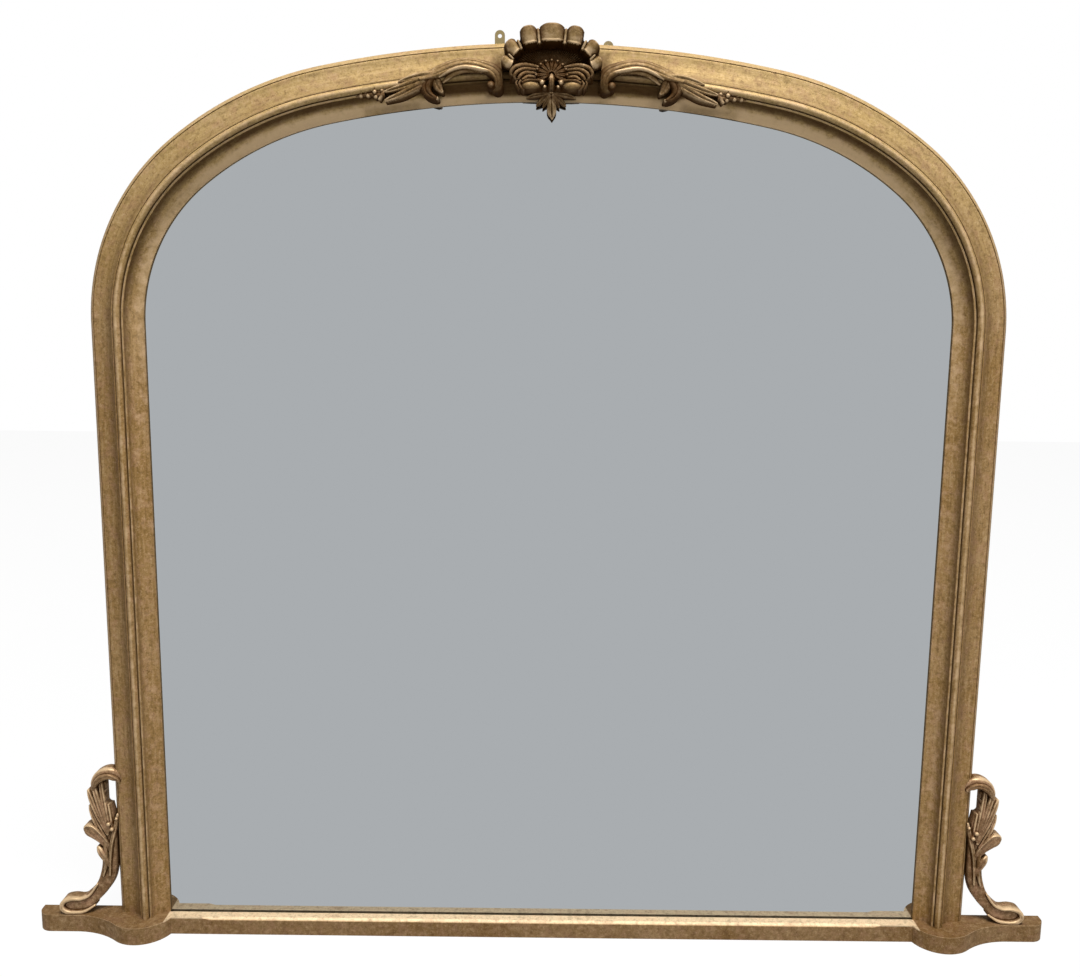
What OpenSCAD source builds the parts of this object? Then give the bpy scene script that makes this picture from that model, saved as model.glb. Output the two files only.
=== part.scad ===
// Arched overmantel mirror: gilt moulded frame on a shaped base board, shell crest and scroll brackets.
// Millimetres, +Z up. The front faces -Y and the back lies in the wall plane y = 0. The origin is the middle
// of the base board's underside at the wall. A depth is a distance in front of the wall plane.

/* [Base board] */
// Width of the base board
base_w = 1412; // [1380:2:1500]
// Thickness of the base board
base_t = 24.5; // [18:0.5:30]
// Depth of the base board between the posts
base_mid_d = 29; // [27:0.5:42]
// Depth of the base board at its ends
base_end_d = 26; // [24:0.5:30]
// Depth of the lobes that carry the posts
base_lobe_d = 58; // [52:1:70]
// Radius of a lobe
lobe_r = 45; // [40:1:50]
// Distance from the frame's outer side to the middle of a lobe
lobe_inset = 35; // [30:1:42]
// Radius of the hollow sweep between a lobe and an end
lobe_sweep_r = 100; // [40:2:110]
// Corner radius of the ends, seen from above
base_corner_r = 18; // [6:1:20]
// Easing of the top edges of the base board
base_edge_r = 1.2; // [0.6:0.1:2]
// Width of the stopped chamfer along the board's front
chamfer_w = 3.5; // [2:0.1:5]
// Distance from a lobe to the chamfer's stop
chamfer_stop = 50; // [20:5:100]
// Depth of the groove that takes the mirror plate's lower edge
groove_h = 6; // [4:0.5:8]
// Space in front of the mirror plate in that groove
groove_space = 2.6; // [1:0.1:3]

/* [Frame] */
// Overall width of the frame across the posts
frame_w = 1190; // [1150:5:1200]
// Height of the straight posts
post_h = 817.5; // [600:2.5:1000]
// Outer radius of the arch shoulders
shoulder_r = 298; // [240:1:320]
// Angle that a shoulder turns through
shoulder_angle = 51; // [48:0.5:54]
// Outer radius of the arch haunches
haunch_r = 455; // [400:1:520]
// Angle that a haunch turns through
haunch_angle = 27.3; // [25:0.1:29]

/* [Moulding section] */
// Width of the moulding from its outer side to the sight edge
moulding_w = 72; // [71:0.5:82]
// Depth of the plain outer side
side_d = 5; // [4:0.5:8]
// Width of the sloping outer strip
strip_w = 7; // [5:0.5:8]
// Depth at the arris of the outer strip
arris_d = 16.5; // [15:0.5:17]
// Width of the quirk grooves
quirk_w = 1.8; // [1.2:0.1:2.2]
// Depth of the quirk grooves
quirk_d = 2.6; // [1.5:0.1:3]
// Distance from the outer side to the middle of the bead
bead_inset = 42.5; // [41:0.5:43]
// Radius of the bead
bead_r = 5.2; // [4:0.1:5.4]
// Depth at the front of the bead
bead_d = 37; // [35:0.5:40]
// Width of the sharp fillet inside the bead
fillet_w = 2.2; // [1.5:0.1:3]
// Depth of the sharp fillet inside the bead
fillet_d = 31; // [29:0.5:33]
// Depth at the front of the sight edge
sight_d = 14; // [13.5:0.1:16]

/* [Glass and back] */
// Thickness of the mirror plate
glass_t = 4; // [3:0.5:5]
// Width by which the sight lip covers the mirror plate
lip_w = 7; // [5:0.5:9]
// Width of the space for glass blocks beside the mirror plate
block_space = 5; // [4:0.5:6]
// Thickness of the back boards
board_t = 6; // [4:0.5:6]
// Width of the landing of the back boards on the frame
board_land = 10; // [9:0.5:11]
// Gap between two back boards
board_gap = 1; // [0.5:0.1:2]
// Length of a glass block
block_l = 46; // [30:1:60]

/* [Fasteners] */
// Diameter of the dowels in the frame joints
dowel_dia = 8; // [6:0.5:8]
// Length of a dowel
dowel_l = 50; // [30:1:60]
// Distance between the two dowels of a joint
dowel_pitch = 22; // [16:1:24]
// Depth of the dowels' axes
dowel_d = 9; // [7:0.5:9.5]
// Diameter of the screws up through the base board
screw_dia = 4.5; // [3.5:0.1:5]
// Length of those screws
screw_l = 60; // [45:1:80]
// Diameter of the back board nails
nail_dia = 2; // [1.6:0.1:2.4]
// Length of the nails
nail_l = 18; // [14:0.5:20]
// Diameter of a nail's head
nail_head_dia = 5; // [4:0.1:6]
// Diameter of the screws of the hanger plates
plate_screw_dia = 3; // [2.5:0.1:3.5]
// Length of the screws of the hanger plates
plate_screw_l = 10; // [6:0.5:11]

/* [Hanger plates] */
// Width of a hanger plate
plate_w = 12.6; // [10:0.1:16]
// Height of a hanger plate
plate_h = 50; // [44:1:60]
// Thickness of a hanger plate
plate_t = 2; // [1.5:0.1:2.5]
// Diameter of its wall hole
plate_hole_dia = 5.2; // [4:0.1:6]
// Distance from the middle of the frame to the left plate
plate_x_left = 65; // [64:1:90]
// Distance from the middle of the frame to the right plate
plate_x_right = 71; // [64:1:90]
// Height of the left plate above the frame's top
plate_rise_left = 15.6; // [14:0.1:20]
// Height of the right plate above the frame's top
plate_rise_right = 4; // [0:0.1:10]

/* [Carving] */
// Radius of the shell to its scalloped rim
shell_r = 59; // [56:0.5:60]
// Height from the shell's middle to the top of the frame
shell_drop = 48; // [46:0.5:50]
// Depth of the shell's rim
shell_d = 60; // [56:0.5:66]
// Depth of the fluted bowl
bowl_d = 42; // [40:0.5:44]
// Depth of the pendant below the shell
pendant_d = 45; // [43:0.5:48]
// Depth of the crest scrolls
scroll_d = 47; // [44:0.5:50]
// Height of the brackets above the base board
bracket_h = 213; // [206:1:220]
// Depth of the brackets
bracket_d = 22; // [19:0.5:24]

/* [Hidden] */

boards = 6;           // number of back boards
gap = 0.3;            // clearance between pieces that are set in place
fit = 0.1;            // clearance round dowels, nails and screws
gilt = [0.62, 0.49, 0.28];
pale_gilt = [0.74, 0.62, 0.38];
pine = [0.72, 0.58, 0.38];

half_w = frame_w / 2;
base_top = base_t;
spring_z = base_top + post_h;

// The arch is five-centred: shoulder, haunch and crown arcs meet with a common tangent.
shoulder_c = [half_w - shoulder_r, spring_z];
haunch_c = shoulder_c - (haunch_r - shoulder_r) * [cos(shoulder_angle), sin(shoulder_angle)];
crown_from = shoulder_angle + haunch_angle;
crown_r = haunch_r + haunch_c[0] / cos(crown_from);
crown_c = [0, haunch_c[1] - (crown_r - haunch_r) * sin(crown_from)];
top_z = crown_c[1] + crown_r;

// Back of the section: the boards are let in flush, and the mirror plate lies in front of them.
board_back = gap;
glass_back = board_back + board_t + gap;
lip_back = glass_back + glass_t + gap;
glass_inset = moulding_w - lip_w;
rebate_inset = glass_inset - block_space;
land_inset = rebate_inset - board_land;

// Outlines at an inset from the frame's outer side.
function arc(c, r, a0, a1, n) =
    [for (i = [0:n]) let (a = a0 + (a1 - a0) * i / n) c + r * [cos(a), sin(a)]];
function arch_right(inset) = concat(
    arc(shoulder_c, shoulder_r - inset, 0, shoulder_angle, 14),
    arc(haunch_c, haunch_r - inset, shoulder_angle, crown_from, 8),
    arc(crown_c, crown_r - inset, crown_from, 90, 6));
function mirrored(pts) = [for (i = [len(pts) - 1:-1:0]) [-pts[i][0], pts[i][1]]];
function arch_outline(inset, z0) = concat([[half_w - inset, z0]], arch_right(inset),
    mirrored(arch_right(inset)), [[inset - half_w, z0]]);

// Half width of the arch at a height, for an inset.
function on_arc(c, r, z) = c[0] + sqrt(max(0, r * r - pow(z - c[1], 2)));
function half_at(z, inset) =
    z < spring_z ? half_w - inset :
    z < shoulder_c[1] + (shoulder_r - inset) * sin(shoulder_angle) ?
        on_arc(shoulder_c, shoulder_r - inset, z) :
    z < haunch_c[1] + (haunch_r - inset) * sin(crown_from) ? on_arc(haunch_c, haunch_r - inset, z) :
    on_arc(crown_c, crown_r - inset, z);

// Front of the moulding section as [inset, depth] from the outer side to the sight edge.
cove_from = strip_w + quirk_w + 0.8;
cove_to = bead_inset - bead_r - 0.3;
cove_rise = bead_d - bead_r + 0.5 - arris_d;
inner_from = bead_inset + bead_r + quirk_w + fillet_w + 0.6;
function front_line() = concat(
    [[0, side_d], [strip_w, arris_d], [strip_w + 0.4, arris_d - quirk_d],
        [strip_w + 0.4 + quirk_w, arris_d - quirk_d]],
    [for (i = [0:7]) let (a = i * 90 / 7) [cove_from + (cove_to - cove_from) * sin(a),
        arris_d + 0.5 + cove_rise * (1 - cos(a))]],
    [for (i = [0:9]) let (a = 168 - i * 21)
        [bead_inset + bead_r * cos(a), bead_d - bead_r + bead_r * sin(a)]],
    [[bead_inset + bead_r + 0.2, fillet_d - quirk_d - 1],
        [bead_inset + bead_r + quirk_w, fillet_d - quirk_d - 1],
        [bead_inset + bead_r + quirk_w + 0.4, fillet_d]],
    [for (i = [0:8]) let (a = i * 90 / 8) [inner_from + (moulding_w - inner_from) * (1 - cos(a)),
        sight_d + (fillet_d - sight_d) * (1 - sin(a))]]);
function section() = concat([[0, 0]], front_line(), [[moulding_w, lip_back], [rebate_inset, lip_back],
    [rebate_inset, glass_back], [land_inset, glass_back], [land_inset, 0]]);
// Everything behind the moulding's front, grown by a clearance, on which the carving is bedded.
// Its few chords bridge the quirks and the hollows and go round the bead.
function seat_section(c) = let (r = (bead_r + c) / cos(22.5)) concat(
    [[-c, -1], [-c, side_d + c], [strip_w, arris_d + c]],
    [for (a = [0:30:90]) [cove_from + (cove_to - cove_from) * sin(a),
        arris_d + 0.5 + cove_rise * (1 - cos(a)) + c]],
    [for (a = [157.5:-45:22.5]) [bead_inset + r * cos(a), bead_d - bead_r + r * sin(a)]],
    [for (a = [0:30:90]) [inner_from + (moulding_w - inner_from) * (1 - cos(a)),
        sight_d + (fillet_d - sight_d) * (1 - sin(a)) + c]],
    [[moulding_w + c, sight_d + c], [moulding_w + c, -1]]);

module stand_up() { rotate([90, 0, 0]) children(); }
module both_sides() { children(); mirror([1, 0, 0]) children(); }

// A straight run of a section along +Z, on the right side.
module straight(pts, z0, length) {
    translate([0, 0, z0]) linear_extrude(length) polygon([for (p = pts) [half_w - p[0], -p[1]]]);
}
// A bent run of a section about a centre, from one angle to another.
module bent(pts, c, r, a0, a1, step = 1) {
    translate([c[0], 0, c[1]]) stand_up() rotate([0, 0, a0]) rotate_extrude(angle = a1 - a0, $fn = 360 / step)
        polygon([for (p = pts) [r - p[0], p[1]]]);
}

// ---------- joints and fasteners ----------

// Two parallel axes per joint, set off a little towards the sight edge, where the moulding is deeper.
joint_offset = 6;
joint_insets = [for (s = [-1, 1]) land_inset / 2 + joint_offset + s * dowel_pitch / 2];

module dowel(c, r, a, dia, length) {
    for (u = joint_insets)
        translate([c[0] + (r - u) * cos(a), -dowel_d, c[1] + (r - u) * sin(a)])
            rotate([0, -a, 0]) cylinder(h = length, d = dia, center = true, $fn = 24);
}
module dowel_row(dia, length) {
    both_sides() {
        dowel(shoulder_c, shoulder_r, 0, dia, length);
        dowel(haunch_c, haunch_r, shoulder_angle, dia, length);
        dowel(haunch_c, haunch_r, crown_from, dia, length);
    }
    dowel(crown_c, crown_r, 90, dia, length);
}
module countersunk(dia, length, head_dia, clear) {
    cylinder(h = length + clear, d = dia + 2 * clear, $fn = 24);
    translate([0, 0, -0.01])
        cylinder(h = (head_dia - dia) / 2, d1 = head_dia + 2 * clear, d2 = dia + 2 * clear, $fn = 24);
}
module screw_row(clear) {
    both_sides() for (u = joint_insets)
        translate([half_w - u, -dowel_d, gap]) countersunk(screw_dia, screw_l, 2 * screw_dia, clear);
}
board_h = (top_z - land_inset - gap - base_top - gap - (boards - 1) * board_gap) / boards;
function board_z(i) = base_top + gap + i * (board_h + board_gap);
nail_inset = land_inset + board_land / 2;
nail_head_t = 1.2;
nail_zs = [for (i = [0:boards - 1]) for (f = [0.2, 0.62]) board_z(i) + f * board_h];
module nail_row(clear) {
    both_sides() for (z = nail_zs)
        translate([half_at(z, nail_inset), 0, z]) rotate([90, 0, 0]) {
            translate([0, 0, board_back - clear])
                cylinder(h = nail_l + 2 * clear, d = nail_dia + 2 * clear, $fn = 16);
            translate([0, 0, board_back - 1])
                cylinder(h = 1 + nail_head_t + clear, d = nail_head_dia + 2 * clear, $fn = 24);
        }
}

// ---------- base board ----------

lobe_x = half_w - lobe_inset;
lobe_c = base_lobe_d - lobe_r;
sweep_dx = sqrt(pow(lobe_r + lobe_sweep_r, 2) - pow(base_end_d + lobe_sweep_r - lobe_c, 2));
sweep_k = lobe_r / (lobe_r + lobe_sweep_r);
module base_plan(cut) {
    difference() {
        union() {
            translate([-lobe_x, -base_mid_d + cut]) square([2 * lobe_x, base_mid_d - cut]);
            translate([-base_w / 2 + base_corner_r, -base_end_d + cut])
                square([base_w - 2 * base_corner_r, base_end_d - cut]);
            both_ends() translate([base_w / 2 - base_corner_r, -base_end_d + base_corner_r])
                circle(base_corner_r - cut, $fn = 64);
            translate([-base_w / 2 + cut, -base_end_d + base_corner_r])
                square([base_w - 2 * cut, base_end_d - base_corner_r - cut]);
            both_ends() {
                translate([lobe_x, -lobe_c]) circle(lobe_r - cut, $fn = 96);
                polygon([[lobe_x, -base_end_d / 2], [lobe_x, -lobe_c], [lobe_x + sweep_dx * sweep_k,
                    -lobe_c - (base_end_d + lobe_sweep_r - lobe_c) * sweep_k],
                    [lobe_x + sweep_dx, -base_end_d + cut], [lobe_x + sweep_dx, -base_end_d / 2]]);
            }
        }
        both_ends() translate([lobe_x + sweep_dx, -base_end_d - lobe_sweep_r])
            circle(lobe_sweep_r + cut, $fn = 96);
        translate([-base_w / 2 - 1, -cut]) square([base_w + 2, 2 * lobe_r]);
    }
}
module both_ends() { children(); mirror([1, 0]) children(); }
chamfer_l = 2 * (lobe_x - lobe_r - chamfer_stop);
module base_board() {
    groove_l = frame_w - 2 * glass_inset + 2 * gap;
    groove_w = lip_back + groove_space - glass_back + gap;
    color(gilt) difference() {
        union() {
            linear_extrude(base_t - base_edge_r) base_plan(0);
            translate([0, 0, base_t - base_edge_r]) linear_extrude(base_edge_r) base_plan(base_edge_r / 2);
        }
        translate([-chamfer_l / 2, -base_mid_d, base_t]) rotate([45, 0, 0])
            translate([0, -chamfer_w, -chamfer_w * sqrt(0.5)])
                cube([chamfer_l, 2 * chamfer_w, 2 * chamfer_w]);
        translate([-half_w + glass_inset - gap, -lip_back - groove_space, base_t - groove_h])
            cube([groove_l, groove_w, groove_h + 1]);
        screw_row(fit);
    }
}

// ---------- frame ----------

module post() {
    color(gilt) difference() {
        straight(section(), base_top, post_h);
        dowel_row(dowel_dia + 2 * fit, dowel_l + 2 * fit);
        screw_row(fit);
        nail_row(fit);
    }
}
module arch_shoulder() {
    color(gilt) difference() {
        bent(section(), shoulder_c, shoulder_r, 0, shoulder_angle);
        dowel_row(dowel_dia + 2 * fit, dowel_l + 2 * fit);
        nail_row(fit);
    }
}
module arch_haunch() {
    color(gilt) difference() {
        bent(section(), haunch_c, haunch_r, shoulder_angle, crown_from);
        dowel_row(dowel_dia + 2 * fit, dowel_l + 2 * fit);
        nail_row(fit);
    }
}
module arch_crown(side) {
    color(pale_gilt) difference() {
        if (side > 0) bent(section(), crown_c, crown_r, crown_from, 90);
        else mirror([1, 0, 0]) bent(section(), crown_c, crown_r, crown_from, 90);
        dowel_row(dowel_dia + 2 * fit, dowel_l + 2 * fit);
        nail_row(fit);
        hanger_pockets();
        hanger_screw_row(fit);
    }
}
// ---------- glass and back ----------

module mirror_glass() {
    color([0.75, 0.78, 0.8]) translate([0, -glass_back, 0]) stand_up() linear_extrude(glass_t)
        polygon(arch_outline(glass_inset, base_top - groove_h + gap));
}
module back_board(i) {
    color(pine) difference() {
        translate([0, -board_back, 0]) stand_up() linear_extrude(board_t) intersection() {
            polygon(arch_outline(land_inset + gap, base_top + gap));
            translate([-half_w, board_z(i)]) square([frame_w, board_h]);
        }
        nail_row(fit);
    }
}
block_zs = [0.15, 0.5, 0.85];
block_angles = [12, 40];
module glass_blocks() {
    width = block_space - 2 * gap;
    front = -glass_back - glass_t;
    color(pine) both_sides() {
        for (f = block_zs)
            translate([half_w - rebate_inset - gap - width, front, base_top + f * post_h - block_l / 2])
                cube([width, glass_t, block_l]);
        for (a = block_angles)
            translate([shoulder_c[0], 0, shoulder_c[1]]) rotate([0, -a, 0])
                translate([shoulder_r - rebate_inset - gap - width, front, -block_l / 4])
                    cube([width - gap, glass_t, block_l / 2]);
    }
}
module back_board_nails() {
    color("dimgray") both_sides() for (z = nail_zs)
        translate([half_at(z, nail_inset), -board_back, z]) rotate([90, 0, 0]) {
            cylinder(h = nail_l, d = nail_dia, $fn = 16);
            cylinder(h = nail_head_t, d = nail_head_dia, $fn = 24);
        }
}
module arch_dowels() {
    color(pine) dowel_row(dowel_dia, dowel_l);
}
module post_screws() {
    color("dimgray") both_sides() for (u = joint_insets)
        translate([half_w - u, -dowel_d, gap + fit / 2])
            countersunk(screw_dia, screw_l - 1, 2 * screw_dia, 0);
}

// ---------- hanger plates ----------

hole_drop = 7;        // from a plate's top to its wall hole
screw_drops = [28, 43];
plates = [[-plate_x_left, plate_rise_left], [plate_x_right, plate_rise_right]];
module plate_plan(grow) {
    translate([-plate_w / 2 - grow, -plate_h - grow])
        square([plate_w + 2 * grow, plate_h - plate_w / 2 + grow]);
    translate([0, -plate_w / 2]) circle(d = plate_w + 2 * grow, $fn = 48);
}
module hanger_pockets() {
    for (p = plates) translate([p[0], 1, top_z + p[1]]) stand_up()
        linear_extrude(1 + plate_t + fit) {
            plate_plan(fit);
            translate([-plate_w / 2 - fit, -plate_w / 2]) square([plate_w + 2 * fit, plate_w]);
        }
}
module hanger_plate(p) {
    color("silver") translate([p[0], 0, top_z + p[1]]) stand_up() difference() {
        linear_extrude(plate_t) plate_plan(0);
        translate([0, -hole_drop, -1]) cylinder(h = plate_t + 2, d = plate_hole_dia, $fn = 32);
        for (d = screw_drops) translate([0, -d, -1]) {
            cylinder(h = plate_t + 2, d = plate_screw_dia + 2 * fit, $fn = 24);
            cylinder(h = 1 + plate_t / 2 + fit, d = 2 * plate_screw_dia + 2 * fit, $fn = 24);
        }
    }
}
module hanger_screw_row(clear) {
    for (p = plates) for (d = screw_drops) translate([p[0], 0, top_z + p[1] - d]) stand_up() {
        cylinder(h = plate_screw_l + clear, d = plate_screw_dia + 2 * clear, $fn = 24);
        cylinder(h = plate_t / 2, d = 2 * plate_screw_dia, $fn = 24);
    }
}
module hanger_screws() { color("dimgray") hanger_screw_row(0); }

// ---------- carving ----------
// Each carved ridge follows a few rows of [x, z, half width, depth], joined by a smooth curve.

function spline(a, b, c, d, t) = 0.5 * (2 * b + (c - a) * t + (2 * a - 5 * b + 4 * c - d) * t * t
    + (3 * b - a - 3 * c + d) * t * t * t);
function smooth(rows, n) = [for (i = [0:len(rows) - 2]) for (k = [0:(i == len(rows) - 2 ? n : n - 1)])
    spline(rows[max(0, i - 1)], rows[i], rows[i + 1], rows[min(len(rows) - 1, i + 2)], k / n)];
function heading(pts, i) = let (d = pts[min(len(pts) - 1, i + 1)] - pts[max(0, i - 1)])
    [d[0], d[1]] / norm([d[0], d[1]]);

// One cross-section of a ridge: a rounded crown on straight sides that reach back to its bed.
crown_max = 5.5;
function rib_points(p, t, bed) = let (
    w = max(0.4, p[2]),
    h = min(w * 0.9, crown_max, max(0.5, p[3] - bed - 0.5)),
    outline = [[-w, bed], [-w, p[3] - h], [-0.72 * w, p[3] - 0.3 * h], [0, p[3]],
        [0.72 * w, p[3] - 0.3 * h], [w, p[3] - h], [w, bed]])
    concat([for (q = outline) [p[0] - t[1] * q[0], -q[1], p[1] + t[0] * q[0]]],
        [[p[0] + 0.3 * t[0], -(p[3] + bed) / 2, p[1] + 0.3 * t[1]]]);
module rib(p, t, bed) {
    polyhedron(rib_points(p, t, bed), concat([[6, 5, 4, 3, 2, 1, 0]], [for (i = [0:6]) [i, (i + 1) % 7, 7]]));
}
module ridge(rows, bed, n = 3) {
    pts = smooth(rows, n);
    for (i = [0:len(pts) - 2]) hull() {
        rib(pts[i], heading(pts, i), bed);
        rib(pts[i + 1], heading(pts, i + 1), bed);
    }
}
// Pearls from rows of [x, z, radius, depth].
module pearls(rows, bed) {
    for (p = rows) hull() {
        translate([p[0], -p[3] + p[2], p[1]]) rotate([90, 0, 0]) sphere(p[2], $fn = 8);
        translate([p[0], -bed, p[1]]) rotate([90, 0, 0]) cylinder(h = 0.1, r = p[2], $fn = 8);
    }
}

// Rows sized by a factor, with their depths measured from a given one.
function sized(rows, k, from) = [for (r = rows) [k * r[0], k * r[1], k * r[2], from + k * r[3]]];

// Half spaces that cut the carving off at a height or at a distance from the middle.
beyond = 100;
module half_space(x, z) { translate([x, -beyond, z]) cube([base_w, 2 * beyond, base_w]); }
module above(z) { half_space(-base_w / 2, z); }
module below(z) { half_space(-base_w / 2, z - base_w); }
module right_of(x) { half_space(x, top_z - base_w); }
module left_of(x) { half_space(x - base_w, top_z - base_w); }

// What the frame's crown takes away behind the crest.
module crown_seat() {
    both_sides() bent(seat_section(gap), crown_c, crown_r, crown_from - 1, 90.01);
}

shell_z = top_z - shell_drop;
crest_bed = 14;       // depth of the carved pieces' flat backs
crest_k = shell_r / 59;   // size of the shell's parts against the size their rows are given in
cup_top = -6.4 * crest_k;     // top of the cups, measured from the shell's middle
pendant_top = -18 * crest_k;  // top of the pendant, measured from the shell's middle
lobe_edges = [-12, 8, 27, 48, 73, 107, 132, 153, 172, 192];
// The rim stands a little further out between its top and its sides.
rim_swell = 0.125;
function rim_at(a) = shell_r * (1 + rim_swell * pow(sin(2 * a), 2));

// Fluted bowl: sectors between ridges, hollowed along their middles, on a flat back.
bowl_rings = [[0.28, 0], [0.5, -1.5], [0.72, 2], [0.84, 9]];   // [share of the radius, rise]
flute_d = 2.5;        // depth of a flute
flute_steps = 4;
bowl_angles = concat([for (i = [0:len(lobe_edges) - 2]) for (k = [0:flute_steps - 1])
    lobe_edges[i] + (lobe_edges[i + 1] - lobe_edges[i]) * k / flute_steps],
    [lobe_edges[len(lobe_edges) - 1]]);
function flute(j) = sin(180 * (j % flute_steps) / flute_steps);
module bowl() {
    n = len(bowl_angles);
    m = len(bowl_rings);
    function at(j, k, depth) = let (a = bowl_angles[j], r = bowl_rings[k][0] * rim_at(a))
        [r * cos(a), -depth, shell_z + r * sin(a)];
    front = [for (j = [0:n - 1]) for (k = [0:m - 1])
        at(j, k, bowl_d + crest_k * (bowl_rings[k][1] - (k > 0 ? flute_d : 0) * flute(j)))];
    back = [for (j = [0:n - 1]) for (k = [0, m - 1]) at(j, k, crest_bed)];
    b = n * m;
    polyhedron(concat(front, back), concat(
        [for (j = [0:n - 2]) for (k = [0:m - 2]) each let (q = j * m + k)
            [[q, q + m, q + 1], [q + 1, q + m, q + m + 1]]],
        [for (j = [0:n - 2]) each let (q = b + 2 * j) [[q, q + 1, q + 2], [q + 1, q + 3, q + 2]]],
        [for (j = [0:n - 2]) each let (q = j * m, r = b + 2 * j) [[q, r, q + m], [r, r + 2, q + m]]],
        [for (j = [0:n - 2]) each let (q = j * m + m - 1, r = b + 2 * j + 1)
            [[q, q + m, r], [q + m, r + 2, r]]],
        [concat([for (k = [0:m - 1]) k], [b + 1, b])],
        [concat([for (k = [m - 1:-1:0]) (n - 1) * m + k], [b + 2 * n - 2, b + 2 * n - 1])]));
}
// One rolled lobe of the rim, between two ridges.
lobe_foot = 0.84;     // share of the radius at which the lobes rise from the bowl
lobe_roll = 7.4 * crest_k;    // largest radius of a rolled lobe
module lobe(a0, a1) {
    a = (a0 + a1) / 2;
    rim = rim_at(a);
    w = rim * lobe_foot * sin((a1 - a0) / 2) - 0.8;
    r = min(lobe_roll, w * 0.8);
    translate([0, 0, shell_z]) rotate([0, -a, 0]) hull() {
        for (s = [-1, 1]) translate([rim - r - w * 0.16, -shell_d + r, s * (w - r * 0.7)]) sphere(r, $fn = 8);
        translate([rim - r, -shell_d + r, 0]) sphere(r, $fn = 8);
        translate([rim - 1.9 * r, -bowl_d, -w * 0.7]) cube([1.4 * r, 4, 1.4 * w]);
    }
}
// Narrow tongue between two lobes.
tongue_w = 2.8;
module tongue(a) {
    from = 0.74 * rim_at(a);
    translate([0, 0, shell_z]) rotate([0, -a, 0]) hull() {
        translate([from, -shell_d + 3, -tongue_w / 2]) cube([1, 3, tongue_w]);
        translate([0.93 * rim_at(a), -shell_d + 3, -0.5]) cube([1, 3, 1]);
        translate([from, -bowl_d, -tongue_w / 2]) cube([0.2 * rim_at(a), 1, tongue_w]);
    }
}
rib_rows = [[[-22.6, 4.6, 1.4, 4], [-36, 8.5, 1.7, 8], [-48, 5, 1.6, 10], [-51, 0, 1.2, 8]],
    [[-22.6, 0, 1.4, 4], [-34, 3, 1.7, 9], [-45, 0, 1.6, 11], [-48, -4.6, 1.2, 8]],
    [[-22.6, -3.4, 1.4, 4], [-31, -2, 1.7, 9], [-40, -3.8, 1.5, 11], [-44, -6, 1.2, 8]]];
hub = 0.32;           // share of the shell's radius taken by the block behind the palmette
module crest_shell() {
    color(gilt) difference() {
        union() {
            bowl();
            for (i = [1:7]) lobe(lobe_edges[i], lobe_edges[i + 1]);
            for (i = [2:7]) tongue(lobe_edges[i]);
            both_sides() translate([0, 0, shell_z])
                for (r = rib_rows) ridge(sized(r, crest_k, bowl_d), crest_bed, 2);
            translate([0, -crest_bed, shell_z]) stand_up() linear_extrude(bowl_d - crest_bed)
                circle(shell_r * hub, $fn = 48);
        }
        crown_seat();
        below(shell_z + cup_top + gap);
    }
}
petal_rows = [[7, 1.1, 7], [17, 2.7, 8]];   // [distance out, half width, rise] of a palmette petal
petal_pearl = [18.6, 2.3, 9];               // [distance out, radius, rise] of the pearl at its tip
bud_rows = [[0, 7, 2.2, 10], [0, 2.5, 3.6, 14], [0, -2, 3.4, 14], [0, -4.4, 2.4, 10]];
palmette_r = 16.6;    // radius of the plate that joins the petals
module crest_palmette() {
    bed = bowl_d + gap;
    color(gilt) difference() {
        translate([0, 0, shell_z]) {
            for (a = [0:22.5:180]) {
                ridge(sized([for (p = petal_rows) [p[0] * cos(a), 1 + p[0] * sin(a), p[1], p[2]]],
                    crest_k, bowl_d), bed, 1);
                pearls(sized([[petal_pearl[0] * cos(a), 1 + petal_pearl[0] * sin(a), petal_pearl[1],
                    petal_pearl[2]]], crest_k, bowl_d), bed);
            }
            ridge(sized(bud_rows, crest_k, bowl_d), bed, 2);
            translate([0, -bed, 0]) stand_up() linear_extrude(4) intersection() {
                circle(palmette_r * crest_k, $fn = 32);
                translate([-shell_r, cup_top + 1]) square(2 * shell_r);
            }
        }
        below(shell_z + cup_top + gap);
    }
}
cup_rows = [[[-9.4, -8, 2.4, 10], [-20, -8.2, 3, 8], [-34, -9.4, 2.6, 11], [-38, -12, 2, 10]],
    [[-10, -11, 2.6, 7], [-22, -12.5, 3.6, 5], [-34.4, -13.2, 2.3, 9.4]],
    [[-11, -14, 2.4, 8], [-20, -16.4, 3, 6], [-30.4, -16.2, 2.2, 9.4]],
    [[-5, -12, 3.4, 4], [-10, -17, 2.4, 8], [-20, -19, 1.7, 10], [-31, -18, 1.7, 11],
        [-37.5, -13, 1.6, 11], [-37, -9, 1.4, 10]]];
cup_pearls = [[-11.5, -9, 3.2, 13]];
module crest_cup() {
    color(gilt) difference() {
        translate([0, 0, shell_z]) {
            for (r = cup_rows) ridge(sized(r, crest_k, bowl_d), crest_bed, 2);
            pearls(sized(cup_pearls, crest_k, bowl_d), crest_bed);
        }
        crown_seat();
        right_of(-gap / 2);
        above(shell_z + cup_top);
        below(shell_z + pendant_top + gap);
    }
}
pendant_rows = [[[0, -16, 4, -1], [0, -25, 4.6, -7], [0.5, -35, 5.4, -11], [0.5, -42, 4, -12],
        [0.5, -46, 1.2, -14]],
    [[-2, -16, 3, -2], [-12, -18.8, 3.2, -6], [-22, -19.4, 2.6, -9], [-30, -20.8, 0.8, -12]],
    [[-2, -18, 3, -4], [-9, -23.5, 3.4, -9], [-14, -27.6, 3, -11], [-18, -30.8, 0.9, -14]],
    [[-1, -20, 2.4, -5], [-5, -28, 3, -10], [-7, -33, 2.4, -13], [-8.5, -37, 0.7, -15]]];
pendant_crease = [[0, -18, 0.9, 0], [0, -28, 0.9, -6.5], [0.5, -41, 0.7, -10.6]];
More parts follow.
